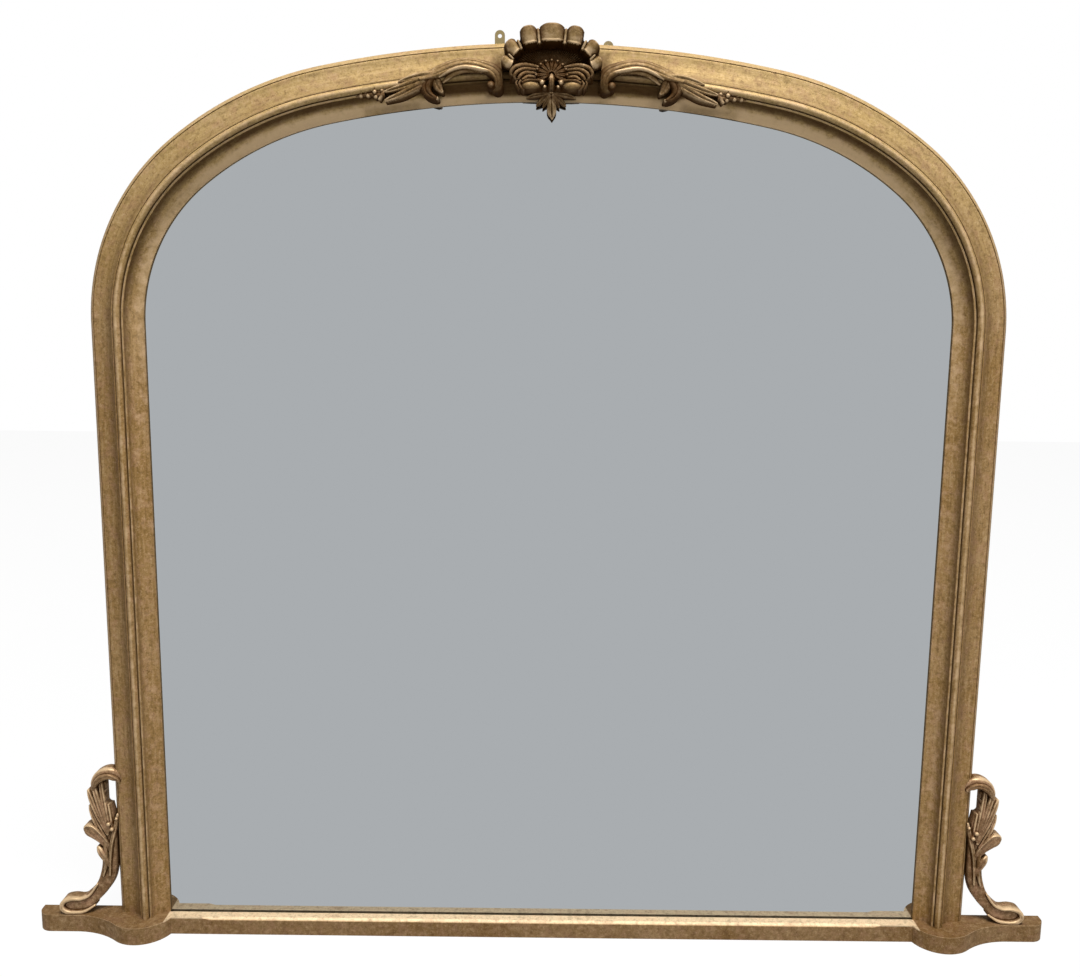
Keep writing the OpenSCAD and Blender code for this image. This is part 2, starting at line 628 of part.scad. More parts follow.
pendant_bed = 17;     // depth of the pendant's flat back
module crest_pendant() {
    color(gilt) difference() {
        translate([0, 0, shell_z]) {
            for (r = pendant_rows) ridge(sized(r, crest_k, pendant_d), pendant_bed, 2);
            mirror([1, 0, 0]) for (i = [1:3])
                ridge(sized(pendant_rows[i], crest_k, pendant_d), pendant_bed, 2);
            ridge(sized(pendant_crease, crest_k, pendant_d), pendant_bed, 2);
        }
        crown_seat();
        above(shell_z + pendant_top);
    }
}
// Scroll: a broad C-shaped band with a curled bulb beside the shell, breaking into acanthus leaves.
// Rows of [share of the way from the shell to the husk, drop below the frame's top line, half width,
// set-back], so that a scroll follows the crown's curve.
scroll_from = shell_r + 6.4 * crest_k;
husk_from = 0.706 * crown_r * cos(crown_from);
function along_crown(rows, from, step) = [for (r = rows) let (x = from + r[0] * step)
    [-x, crown_c[1] + sqrt(crown_r * crown_r - x * x) - crest_k * r[1], crest_k * r[2],
        scroll_d - crest_k * r[3]]];
scroll_rows = [[[0.076, 53, 4, 2], [0.032, 58.9, 3.6, 4], [0, 53.5, 4, 3], [0.026, 43.3, 5.4, 1],
        [0.134, 34.1, 7, 0], [0.291, 29.7, 7.4, 0], [0.449, 30.7, 7.6, 1], [0.584, 37.4, 7, 2],
        [0.685, 42.3, 5.4, 4], [0.785, 42.7, 3.4, 5], [0.87, 42.1, 1.6, 6]],
    [[0.119, 41.3, 2, 5], [0.276, 37.8, 2.4, 5], [0.42, 39.6, 3, 6], [0.512, 46.4, 2, 8]],
    [[0.534, 36.1, 6, 4], [0.627, 43.8, 7.6, 4], [0.662, 53.3, 7.6, 5], [0.627, 62.8, 6.6, 5],
        [0.57, 68.8, 4.2, 5], [0.531, 69.8, 1.6, 6]],
    [[0.606, 41.1, 5, 4], [0.735, 49.1, 5.4, 5], [0.864, 51.9, 4, 7], [0.993, 49.4, 1.8, 10]],
    [[0.634, 45.7, 5, 5], [0.777, 55.8, 5.6, 6], [0.906, 59.1, 4.6, 8], [1.021, 58.8, 2.4, 11]],
    [[0.491, 35.7, 1, 2], [0.606, 46.1, 1, 2], [0.641, 56.6, 1, 3], [0.599, 66.2, 0.8, 4]]];
scroll_pearls = [[0.059, 53.5, 5, -2]];
module crest_scroll() {
    step = husk_from - scroll_from;
    color(gilt) difference() {
        union() {
            for (r = scroll_rows) ridge(along_crown(r, scroll_from, step), crest_bed, 2);
            pearls(along_crown(scroll_pearls, scroll_from, step), crest_bed);
        }
        crown_seat();
        translate([0, -crest_bed, shell_z]) rotate([90, 0, 0])
            cylinder(h = beyond, r = shell_r + 2, $fn = 64);
        left_of(-husk_from);
    }
}
// Husk: a stem with berries at the end of a scroll. Its rows start at the scroll's end.
husk_stem = [[-2.1, 55.2, 3.8, 11], [12.9, 51.2, 4.8, 11.4], [25, 50, 4.4, 12.2], [34.9, 52.2, 2, 14.6]];
husk_ring = [[7, 59.6, 1.8, 12], [0.9, 49, 1.8, 12]];
husk_pearls = [[3.5, 50.3, 2.8, 10], [13.4, 45.6, 3.6, 10], [12.4, 50.6, 3.2, 9],
    [11.3, 56.1, 3, 11], [23.9, 47, 3.6, 11], [29.9, 52, 3.4, 13], [21, 53.1, 2.8, 12]];
module crest_husk() {
    color(gilt) difference() {
        union() {
            ridge(along_crown(husk_stem, husk_from, crest_k), crest_bed, 1);
            ridge(along_crown(husk_ring, husk_from, crest_k), crest_bed, 1);
            pearls(along_crown(husk_pearls, husk_from, crest_k), crest_bed);
        }
        crown_seat();
        right_of(-husk_from - gap);
    }
}

// Bracket: a tapering S-stem from a volute on the base board up to a hooked head, clothed in acanthus.
// Rows are measured from the frame's outer side, the top of the base board and the brackets' depth.
bracket_bed = 3;      // depth of a bracket's flat back
bracket_k = bracket_h / 213;  // size of a bracket against the size its rows are given in
bracket_rows = [
    // leaf body, stem and dished volute
    [[-17, 195, 9.4, -5], [-20, 182, 13.4, -4], [-18, 166, 14.6, -3], [-14, 148, 14, -2.6],
        [-11, 130, 13, -2.6], [-9.6, 110, 12, -3], [-9.4, 90, 10.6, -4], [-10, 70, 10.4, -4],
        [-14.4, 51, 10.4, -5], [-22, 36.4, 9.4, -5], [-32, 25, 9, -4], [-45, 14, 9.6, -3],
        [-58, 10.4, 10, -2], [-68, 10, 8.4, -2]],
    // rim of the volute
    [[-38, 8.4, 1.8, -2], [-47, 4.4, 2.8, 2], [-58, 2.4, 3, 3], [-70, 3.4, 3.4, 3], [-77.4, 9.4, 3.6, 2],
        [-73, 15.6, 3.4, 1], [-62, 17.4, 2.6, 0], [-50, 18, 2, -2]],
    // hood, second curl, third curl
    [[-25, 183, 4, -2], [-22.4, 191, 6, 0], [-16, 200.4, 7.4, 1], [-5, 205.4, 8, 2], [5, 203.4, 7.6, 0],
        [11, 199, 5.6, -2]],
    [[-10, 101, 5.6, -2], [-20, 112, 7, 1], [-29, 119.6, 8.4, 2], [-35, 122, 7.4, 1], [-39.4, 124, 4, -2]],
    [[-9, 74, 3.6, -3], [-15.4, 84, 5.4, 0], [-19.4, 91.4, 5, 0], [-22.4, 97, 2.6, -2]],
    [[-9, 56, 1.4, -3], [-7.4, 80, 1.8, -1.6], [-4, 104, 2.2, -0.6], [2, 128, 2.4, -2], [6, 146, 1.8, -3]]];
bracket_veins = [
    [[-9, 118, 1.8, -1.4], [-22, 150, 1.8, -2], [-31, 176, 1.2, -4.6]],
    [[-8, 122, 1.8, -1.4], [-16.4, 154, 1.8, -1.2], [-24.6, 186, 1.2, -3]],
    [[-6, 124, 1.8, -1.4], [-11.4, 156, 1.8, -1.4], [-16.6, 188, 1.2, -4]],
    [[-3, 124, 1.8, -1.4], [-6, 148, 1.6, -2], [-9.4, 168, 1.2, -3.4]],
    [[-13, 112, 2.2, -2], [-23, 132, 2.8, -1.4], [-29.4, 149, 2, -4]]];
bracket_pearls = [[-8.4, 131.4, 2.6, 2], [-4, 124, 2.4, 2], [4.5, 140.4, 2, -1]];
window = [163 * bracket_k, 197 * bracket_k];  // heights of the opening between the leaf and the post
window_w = 9.6 * bracket_k;   // width of that opening
module bracket() {
    color(gilt) difference() {
        translate([-half_w, 0, base_top]) {
            for (r = bracket_rows) ridge(sized(r, bracket_k, bracket_d), bracket_bed, 2);
            for (r = bracket_veins) ridge(sized(r, bracket_k, bracket_d), bracket_bed, 1);
            pearls(sized(bracket_pearls, bracket_k, bracket_d), bracket_bed);
        }
        mirror([1, 0, 0]) straight(seat_section(gap), 0, spring_z);
        below(base_top + gap);
        translate([-half_w - window_w, -beyond, base_top + window[0]])
            cube([2 * window_w, 2 * beyond, window[1] - window[0]]);
    }
}

base_board();
mirror([1, 0, 0]) post();  // post_left
post();  // post_right
mirror([1, 0, 0]) arch_shoulder();  // arch_shoulder_left
arch_shoulder();  // arch_shoulder_right
mirror([1, 0, 0]) arch_haunch();  // arch_haunch_left
arch_haunch();  // arch_haunch_right
arch_crown(-1);  // arch_crown_left
arch_crown(1);  // arch_crown_right
mirror_glass();
back_board(0);  // back_board_1
back_board(1);  // back_board_2
back_board(2);  // back_board_3
back_board(3);  // back_board_4
back_board(4);  // back_board_5
back_board(5);  // back_board_6
glass_blocks();
back_board_nails();
arch_dowels();
post_screws();
hanger_plate(plates[0]);  // hanger_plate_left
hanger_plate(plates[1]);  // hanger_plate_right
hanger_screws();
bracket();  // bracket_left
mirror([1, 0, 0]) bracket();  // bracket_right
crest_shell();
crest_palmette();
crest_cup();  // crest_cup_left
mirror([1, 0, 0]) crest_cup();  // crest_cup_right
crest_pendant();
crest_scroll();  // crest_scroll_left
mirror([1, 0, 0]) crest_scroll();  // crest_scroll_right
crest_husk();  // crest_husk_left
mirror([1, 0, 0]) crest_husk();  // crest_husk_right
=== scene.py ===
import math
from contextlib import contextmanager

import bpy
import numpy as np
from mathutils import Matrix, Vector


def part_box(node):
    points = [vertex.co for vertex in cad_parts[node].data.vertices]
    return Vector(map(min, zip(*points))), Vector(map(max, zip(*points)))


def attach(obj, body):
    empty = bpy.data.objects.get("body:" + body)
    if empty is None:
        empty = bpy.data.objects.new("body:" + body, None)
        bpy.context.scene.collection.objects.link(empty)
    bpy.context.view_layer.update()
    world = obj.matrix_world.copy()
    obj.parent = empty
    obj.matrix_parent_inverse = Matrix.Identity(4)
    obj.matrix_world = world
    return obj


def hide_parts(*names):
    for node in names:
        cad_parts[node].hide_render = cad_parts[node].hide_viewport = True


bl_info = {
    "name": "Arched overmantel mirror",
    "version": (1, 0, 0),
    "blender": (4, 5, 0),
    "location": "3D View > Sidebar > Mirror",
    "description": "Gilt mouldings, carving, mirror plate, back and stage of an arched overmantel mirror",
    "category": "Object",
}

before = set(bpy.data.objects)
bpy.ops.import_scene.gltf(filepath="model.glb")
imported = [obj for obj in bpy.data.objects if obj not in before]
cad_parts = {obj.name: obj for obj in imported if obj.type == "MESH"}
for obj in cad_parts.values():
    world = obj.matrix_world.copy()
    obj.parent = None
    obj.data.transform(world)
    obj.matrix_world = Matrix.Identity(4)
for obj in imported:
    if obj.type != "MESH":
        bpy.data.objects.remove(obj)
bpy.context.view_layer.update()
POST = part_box("post_right")
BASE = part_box("base_board")
MM = 0.001
WELD = 0.005 * MM                # points nearer than this become one


# ---------- sizes and colours that a user would change ----------

def length(name, description, default):
    return bpy.props.FloatProperty(name=name, description=description, default=default, min=0.0,
                                   unit="LENGTH", subtype="DISTANCE", precision=4)


def tint(name, description, default):
    return bpy.props.FloatVectorProperty(name=name, description=description, default=default, size=3,
                                         min=0.0, max=1.0, subtype="COLOR")


class MirrorSizes(bpy.types.PropertyGroup):
    half_w: length("Half width", "Half the width of the frame across its posts", POST[1].x)
    base_top: length("Base top", "Height of the base board's top", BASE[1].z)
    spring: length("Spring", "Height at which the arch springs from the posts", POST[1].z)
    shoulder_r: length("Shoulder radius", "Outer radius of the arch shoulders", 0.298)
    haunch_r: length("Haunch radius", "Outer radius of the arch haunches", 0.455)
    moulding_w: length("Moulding width", "From the outer side to the sight edge", 0.072)
    bead_d: length("Bead depth", "Depth at the front of the bead", 0.037)
    shell_r: length("Shell radius", "Radius of the shell to its rim", 0.059)
    shell_drop: length("Shell drop", "From the shell's middle up to the frame's top", 0.048)
    grid: length("Carving grid", "Spacing of the carved surfaces' points", 0.0006)


class MirrorFinish(bpy.types.PropertyGroup):
    gold: tint("Gold", "Aged gilding", (0.268, 0.156, 0.052))
    # Pale gold is painted light: the arch is painted paler higher up, and the carving's painted highlights
    # are laid in it
    pale_gold: tint("Pale gold", "Rubbed, light gilding of the arch", (0.37, 0.25, 0.098))
    dark_gold: tint("Dark gold", "Toned gilding of the carving", (0.125, 0.064, 0.022))
    # Rubbed colour: worn edges, and also painted highlights on the carving, the bead, the sight edge and
    # the base's front edge
    rubbed_and_highlight: tint("Rubbed edges", "Edges rubbed bright", (0.60, 0.43, 0.25))
    # Blush: undercoat showing through wear, and also the colour of the brackets' painted highlights
    blush: tint("Blush", "Warm undercoat that shows through worn gilding", (0.44, 0.25, 0.15))
    # Grime colour: dirt in the hollows, and also the painted shade in hollows, under forms and beside the
    # crest
    grime_and_shade_colour: tint("Grime_and_shade_colour", "Dark toning in the hollows", (0.038, 0.013, 0.001))
    base_gold: tint("Base gold", "Toned gilding of the base board", (0.21, 0.118, 0.044))
    # Cream gold is a painted highlight on the base board's top and chamfer in the middle, where light falls
    cream_highlight: tint("Cream gold", "Light gilding of the base board's middle", (0.60, 0.46, 0.29))
    silver: tint("Silvering", "Light that the mirror plate gives back", (0.397, 0.418, 0.434))
    pine: tint("Back wood", "Boards behind the plate", (0.33, 0.20, 0.10))


class MirrorStage(bpy.types.PropertyGroup):
    lens: bpy.props.FloatProperty(name="Lens", description="Focal length of the camera", default=34.667,
                                  min=1.0, unit="CAMERA")
    key: bpy.props.FloatProperty(name="Key light", description="Power of the lamp above", default=400.0,
                                 min=0.0, subtype="POWER")
    fill: bpy.props.FloatProperty(name="Fill light", description="Power of the lamp in front", default=52.0,
                                  min=0.0, subtype="POWER")
    ambient: bpy.props.FloatProperty(name="Ambient", description="Strength of the light all round",
                                     default=0.10, min=0.0)


def sizes():
    return bpy.context.scene.mirror_sizes


# ---------- the arch and its moulding, in millimetres ----------

ARC_ENDS = (51, 78.3)                # angles at which the shoulder and the haunch end
COVE = (9.2, 37.4, 17.0, 15.2)       # from, to, depth and rise of the cove
BEAD = (44.4, 4.3)                   # middle and radius of the bead
INNER = (52.4, 31.0, 14.0)           # start, depth at the start and depth at the sight edge
LIP_BACK, GLASS_BACK, LAND, REBATE = 10.9, 6.6, 50.0, 60.0
SEAT_GAP = 0.1                       # between the carving and the moulding that it lies on


def arch():
    """Centres, radii and angles of the right half of the five-centred arch."""
    s = sizes()
    r1, r2 = s.shoulder_r / MM, s.haunch_r / MM
    a1, a2 = (math.radians(turn) for turn in ARC_ENDS)
    c1 = (s.half_w / MM - r1, s.spring / MM)
    c2 = (c1[0] - (r2 - r1) * math.cos(a1), c1[1] - (r2 - r1) * math.sin(a1))
    r3 = r2 + c2[0] / math.cos(a2)
    c3 = (0.0, c2[1] - (r3 - r2) * math.sin(a2))
    return {"shoulder": (c1, r1, 0.0, a1), "haunch": (c2, r2, a1, a2), "crown": (c3, r3, a2, math.pi / 2)}


def moulding_section():
    """Closed section as (inset, depth, grime and painted shade, wear and painted highlight) from the outer
    back corner round the front.
    """
    width, bead = sizes().moulding_w / MM, sizes().bead_d / MM
    # Grime and painted shade in the quirks, under the bead and towards the bead in the cove; wear and
    # painted highlight on the bead's top and rising up the slope to the sight edge
    line = [(0, 0, 0.3, 0), (0, 4.6, 0.3, 0.1), (0.3, 5.5, 0.2, 0.3), (3.5, 10.8, 0.2, 0.2),
            (6.2, 15.2, 0.1, 0.35), (6.9, 16.4, 0, 0.6), (7.4, 16.4, 0.1, 0.4), (7.7, 15.7, 0.5, 0),
            (8.0, 15.4, 0.6, 0), (8.3, 15.7, 0.5, 0), (8.7, 16.8, 0.1, 0.3)]
    for i in range(19):
        a = math.radians(90 * i / 18)
        line.append((COVE[0] + (COVE[1] - COVE[0]) * math.sin(a), COVE[2] + COVE[3] * (1 - math.cos(a)),
                     0.02 + 0.5 * (i / 18) ** 1.3 + 0.2 * math.exp(-((i - 9) / 4) ** 2),
                     0.2 * max(0, 1 - i / 8)))
    line += [(37.7, 32.9, 0.3, 0.3), (38.9, 33.0, 0.3, 0.3), (39.2, 32.5, 0.7, 0), (39.5, 32.5, 0.75, 0)]
    for i in range(20):
        a = math.radians(166 - i * 196 / 19)
        top = max(0, math.sin(a))
        line.append((BEAD[0] + BEAD[1] * math.cos(a), bead - BEAD[1] + BEAD[1] * math.sin(a),
                     max(0, 0.65 - 1.3 * top), 0.72 * top ** 3))
    line += [(48.3, 29.6, 0.7, 0), (48.6, 29.3, 0.75, 0), (49.1, 29.4, 0.65, 0), (49.4, 30.3, 0.3, 0.2),
             (49.8, 31.0, 0, 0.75), (51.9, 31.05, 0.1, 0.5)]
    for i in range(17):
        a = math.radians(90 * i / 16)
        share = 1 - math.cos(a)
        line.append((INNER[0] + (width - INNER[0]) * share,
                     INNER[2] + (INNER[1] - INNER[2]) * (1 - math.sin(a)),
                     0.6 * max(0, 1 - share / 0.45) ** 1.2, min(0.8, 0.2 + 0.9 * share)))
    return line + [(width, 12.4, 0.1, 0.6), (width, LIP_BACK, 0.5, 0), (REBATE, LIP_BACK, 0, 0),
                   (REBATE, GLASS_BACK, 0, 0), (LAND, GLASS_BACK, 0, 0), (LAND, 0, 0, 0)]


def seat_depth(inset):
    """Depth of the moulding's front at an inset, and nothing beside it."""
    front = moulding_section()[1:-5]
    places, depths = [0.0], [front[0][1]]
    for place, depth, *_ in front:
        if place > places[-1]:
            places.append(place)
            depths.append(depth)
    return np.where((inset < 0) | (inset > places[-1]), 0.0, np.interp(inset, places, depths))


# ---------- modelling by operators ----------

def take(piece):
    """Leave edit mode and select this piece alone, or nothing."""
    if bpy.context.object and bpy.context.object.mode != "OBJECT":
        bpy.ops.object.mode_set(mode="OBJECT")
    bpy.ops.object.select_all(action="DESELECT")
    if piece:
        piece.select_set(True)
        bpy.context.view_layer.objects.active = piece
    return piece


@contextmanager
def editing(piece):
    """Edit mode on one piece, with all of it selected."""
    take(piece)
    bpy.ops.object.mode_set(mode="EDIT")
    bpy.ops.mesh.select_all(action="SELECT")
    yield
    bpy.ops.object.mode_set(mode="OBJECT")


def extrude(way):
    bpy.ops.mesh.extrude_region_move(TRANSFORM_OT_translate={"value": way})


def apply_place(piece):
    take(piece)
    bpy.ops.object.transform_apply(location=True, rotation=True, scale=True)
    return piece


def settle(piece, angle):
    """Put the piece's origin at the middle, close it, turn its faces outwards and smooth it."""
    with editing(apply_place(piece)):
        bpy.ops.mesh.remove_doubles(threshold=WELD)
        bpy.ops.mesh.normals_make_consistent(inside=False)
    bpy.ops.object.shade_smooth_by_angle(angle=math.radians(angle))
    return piece


def outline(name, points):
    """A closed wire, drawn from one vertex point by point."""
    take(None)
    points = [Vector(p) * MM for p in points]
    bpy.ops.mesh.primitive_plane_add(size=MM, location=points[0])
    piece = bpy.context.object
    piece.name = piece.data.name = name
    with editing(piece):
        bpy.ops.mesh.select_mode(type="VERT")
        bpy.ops.mesh.merge(type="CENTER")
        for a, b in zip(points, points[1:] + points[:1]):
            extrude(b - a)
        bpy.ops.mesh.select_all(action="SELECT")
        bpy.ops.mesh.remove_doubles(threshold=WELD)
    return apply_place(piece)


def swept(name, points, motion):
    """A moulding: its section drawn in place, swept by a motion and closed at both ends."""
    piece = outline(name, points)
    with editing(piece):
        motion()
        bpy.ops.mesh.edge_face_add()
    for v in piece.data.vertices:
        v.select = v.index < len(points)
    bpy.ops.object.mode_set(mode="EDIT")
    bpy.ops.mesh.select_mode(type="VERT")
    bpy.ops.mesh.edge_face_add()
    return settle(piece, 32)


def divide(piece, where, normal):
    """A row of edges all round the piece, in a plane."""
    with editing(piece):
        bpy.ops.mesh.bisect(plane_co=where, plane_no=normal)


def block(where, size, turn=0.0):
    """A block to cut with, turned about X and sized along the axes."""
    take(None)
    bpy.ops.mesh.primitive_cube_add(size=1, location=where, rotation=(turn, 0, 0))
    cutter = bpy.context.object
    bpy.ops.object.transform_apply(location=False, rotation=True, scale=False)
    with editing(cutter):
        bpy.ops.transform.resize(value=size, center_override=cutter.location)
    return cutter


def cut_with(piece, cutter):
    """Take the cutter's shape away from the piece."""
    take(piece)
    cut = piece.modifiers.new("cut", "BOOLEAN")
    cut.operation, cut.object, cut.solver = "DIFFERENCE", cutter, "EXACT"
    bpy.ops.object.modifier_apply(modifier=cut.name)
    bpy.data.objects.remove(cutter)


def mirrored(piece, name):
    """A mirrored copy with its own mesh."""
    take(piece)
    bpy.ops.object.duplicate()
    other = bpy.context.object
    other.name = other.data.name = name
    with editing(other):
        bpy.ops.transform.resize(value=(-1, 1, 1), center_override=(0, 0, 0))
        bpy.ops.mesh.normals_make_consistent(inside=False)
    return other


def mask(piece, name, values):
    layer = piece.data.attributes.new(name, "FLOAT", "POINT")
    layer.data.foreach_set("value", np.clip(np.asarray(values, np.float32), 0, 1))


def points_of(mesh):
    co = np.empty(len(mesh.vertices) * 3)
    mesh.vertices.foreach_get("co", co)
    return co.reshape(-1, 3) / MM


def dress(piece, *slots, behind=None):
    """Give the piece its finish, and a second one to the faces that lie behind."""
    piece.data.materials.clear()
    for slot in slots:
        piece.data.materials.append(surfaces()[slot])
    if behind:
        for face in piece.data.polygons:
            face.material_index = int(behind(face.center / MM))


def declare(piece, slot, *nodes):
    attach(piece, "root")
    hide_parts(*nodes)
    return piece


# ---------- node groups and materials ----------

def feed(socket, value):
    """Link a value to a socket, or set the socket to a number or colour."""
    if isinstance(value, Value):
        value.tree.links.new(value.socket, socket)
    else:
        socket.default_value = value


class Value:
    """What comes out of a node, so that shading can be written as sums."""

    def __init__(self, tree, socket):
        self.tree, self.socket = tree, socket

    def math(self, operation, a, b, clamp=False):
        node = self.tree.nodes.new("ShaderNodeMath")
        node.operation, node.use_clamp = operation, clamp
        feed(node.inputs[0], a)
        feed(node.inputs[1], b)
        return Value(self.tree, node.outputs[0])

    def __add__(self, other):
        return self.math("ADD", self, other)

    def __mul__(self, other):
        return self.math("MULTIPLY", self, other)

    def __sub__(self, other):
        return self.math("SUBTRACT", self, other)

    def __rsub__(self, other):
        return self.math("SUBTRACT", other, self)

    def larger(self, other):
        return self.math("MAXIMUM", self, other)

    def noise(self, scale, detail=3.0, rough=0.55):
        node = self.tree.nodes.new("ShaderNodeTexNoise")
        for label, value in (("Vector", self), ("Scale", scale), ("Detail", detail), ("Roughness", rough)):
            feed(node.inputs[label], value)
        return Value(self.tree, node.outputs["Fac"])

    def ramp(self, low, high):
        """A smooth rise from 0 to 1 between two values."""
        node = self.tree.nodes.new("ShaderNodeMapRange")
        node.interpolation_type = "SMOOTHSTEP"
        for label, value in (("Value", self), ("From Min", low), ("From Max", high)):
            feed(node.inputs[label], value)
        return Value(self.tree, node.outputs["Result"])

    def part(self, axis):
        node = self.tree.nodes.new("ShaderNodeSeparateXYZ")
        feed(node.inputs[0], self)
        return Value(self.tree, node.outputs[axis])

    def stretched(self, scale):
        node = self.tree.nodes.new("ShaderNodeVectorMath")
        node.operation = "MULTIPLY"
        feed(node.inputs[0], self)
        feed(node.inputs[1], scale)
        return Value(self.tree, node.outputs[0])


def blend(share, a, b):
    """Colour a with b laid over it by a share."""
    node = share.tree.nodes.new("ShaderNodeMix")
    node.data_type = "RGBA"
    for index, value in ((0, share), (6, a), (7, b)):
        feed(node.inputs[index], value)
    return Value(share.tree, node.outputs[2])


def group(name, inputs, outputs):
    """A new node group: its inputs as values, and the sockets of its outputs."""
    tree = bpy.data.node_groups.new(name, "ShaderNodeTree")
    for label, default in inputs.items():
        kind = "Vector" if default is None else "Color" if isinstance(default, tuple) else "Float"
        socket = tree.interface.new_socket(label, in_out="INPUT", socket_type="NodeSocket" + kind)
        if default is not None:
            socket.default_value = default
    for label in outputs:
        kind = "Color" if label == "Color" else "Float"
        tree.interface.new_socket(label, in_out="OUTPUT", socket_type="NodeSocket" + kind)
    gin, gout = tree.nodes.new("NodeGroupInput"), tree.nodes.new("NodeGroupOutput")
    return tree, [Value(tree, gin.outputs[label]) for label in inputs], gout.inputs


def gilding_group():
    """Aged gilding: cloudy colour, speckle, grime with painted shade in hollows, rubbed edges with painted
    highlights and undercoat round them, and the arch painted paler higher up.
    """
    tree, inputs, out = group("aged_gilding", {
        "Place": None, "Along": None, "Gold": (0.4, 0.25, 0.1, 1), "Pale": (0.46, 0.32, 0.15, 1),
        "Rubbed_and_highlight": (0.8, 0.6, 0.36, 1), "Blush": (0.55, 0.3, 0.16, 1),
        "Grime_and_shade_colour": (0.03, 0.016, 0.006, 1),
        "Hollow_dirt_and_shade": 0.0, "Edge": 0.0, "Lift": 0.0, "Painted_height_light": 0.0, "Age": 0.5, "Depth": 0.9},
        ("Color", "Roughness", "Metallic", "Height"))
    place, along, gold, pale, rubbed_and_highlight, blush, grime_and_shade_colour, hollow, edge, lift, rise, age, depth = inputs
    cloud, patch = place.noise(9.0, 4.0), place.noise(70.0, 5.0, 0.65)
    streak, mottle = along.noise(1.0, 4.0, 0.6), place.noise(210.0, 3.0, 0.6)
    speck, grain = place.noise(520.0, 2.0, 0.6), place.noise(1500.0, 1.0)
    # painted light: the arch is painted paler than the posts, from one height to another, as if lit from
    # above
    painted_height_light = place.part("Z").ramp(0.78, 1.12) * rise
    color = blend(lift.math("ADD", lift, painted_height_light, clamp=True), gold, pale)
    worn = patch.ramp(0.46, 0.66) * age
    for share, over in ((cloud.ramp(0.3, 0.7) * 0.16, rubbed_and_highlight), (streak.ramp(0.5, 0.7) * 0.22, rubbed_and_highlight),
                        (streak.ramp(0.5, 0.3) * 0.3, grime_and_shade_colour), (worn * 0.6, blush),
                        (mottle.ramp(0.5, 0.32) * 0.3, grime_and_shade_colour), (mottle.ramp(0.54, 0.72) * 0.3, rubbed_and_highlight),
                        (speck.ramp(0.56, 0.74) * 0.34, rubbed_and_highlight), (speck.ramp(0.44, 0.28) * 0.4, grime_and_shade_colour)):
        color = blend(share, color, over)
    # grime and painted shade: the grime colour is laid where the hollow mask is high
    dirt_and_shade = (hollow + (patch - 0.5) * 0.5).ramp(0.05, 1.0) * depth
    color = blend(dirt_and_shade, color, grime_and_shade_colour)
    # rubbed wear and painted highlights, laid in the rubbed colour
    bare_and_highlight = (edge + (patch - 0.55) * 1.1).ramp(0.35, 0.95) * (1.0 - dirt_and_shade * 0.8)
    feed(out["Color"], blend(bare_and_highlight * 0.8, color, rubbed_and_highlight))
    feed(out["Roughness"], patch * 0.2 + 0.42 + dirt_and_shade * 0.25 - bare_and_highlight * 0.16)
    feed(out["Metallic"], (1.0 - dirt_and_shade) * 0.24 * (1.0 - worn * 0.6))
    feed(out["Height"], patch * 0.7 + grain * 0.35 + speck * 0.35)
    return tree


def wood_group():
    """Sawn wood: long grain, fibres and stain."""
    tree, (place, wood, stain, age), out = group("sawn_wood", {
        "Place": None, "Wood": (0.33, 0.2, 0.1, 1), "Stain": (0.1, 0.055, 0.03, 1), "Age": 0.5},
        ("Color", "Roughness", "Height"))
    lengthwise = place.stretched((1.0, 22.0, 22.0))
    rings, fibre = lengthwise.noise(5.0, 6.0, 0.6), lengthwise.noise(45.0, 3.0)
    color = blend(rings.ramp(0.4, 0.62) * 0.6, wood, stain)
    color = blend(place.noise(7.0, 4.0).ramp(0.45, 0.75) * age, color, stain)
    feed(out["Color"], blend(fibre.ramp(0.5, 0.8) * 0.3, color, stain))
    feed(out["Roughness"], fibre * 0.25 + 0.62)
    feed(out["Height"], rings + fibre)
    return tree


def metal_group():
    """Dull metal: scratches, tarnish and rust spots."""
    tree, (place, metal, tarnish, age), out = group("dull_metal", {
        "Place": None, "Metal": (0.5, 0.5, 0.48, 1), "Tarnish": (0.1, 0.06, 0.04, 1), "Age": 0.5},
        ("Color", "Roughness", "Metallic", "Height"))
    cloud = place.noise(160.0, 5.0, 0.6)
    spots = cloud.ramp(0.45, 0.7) * age
    feed(out["Color"], blend(spots, metal, tarnish))
    feed(out["Roughness"], spots * 0.4 + 0.32)
    feed(out["Metallic"], 1.0 - spots * 0.7)
    feed(out["Height"], place.noise(900.0, 3.0) + cloud)
    return tree


SHADER_INPUTS = {"Color": "Base Color", "Roughness": "Roughness", "Metallic": "Metallic"}
# hollow carries grime and painted shade, rubbed_and_highlight carries wear and painted highlights, pale
# carries painted highlights
MASKS = {"Hollow_dirt_and_shade": "hollow", "Edge": "rubbed_and_highlight", "Lift": "pale"}
STREAKS = (110, 110, 110)            # scale of the streaks on Object coordinates
STRIP_STREAKS = (25, 260, 1)         # and along a moulding's strip
FINISHES = {}


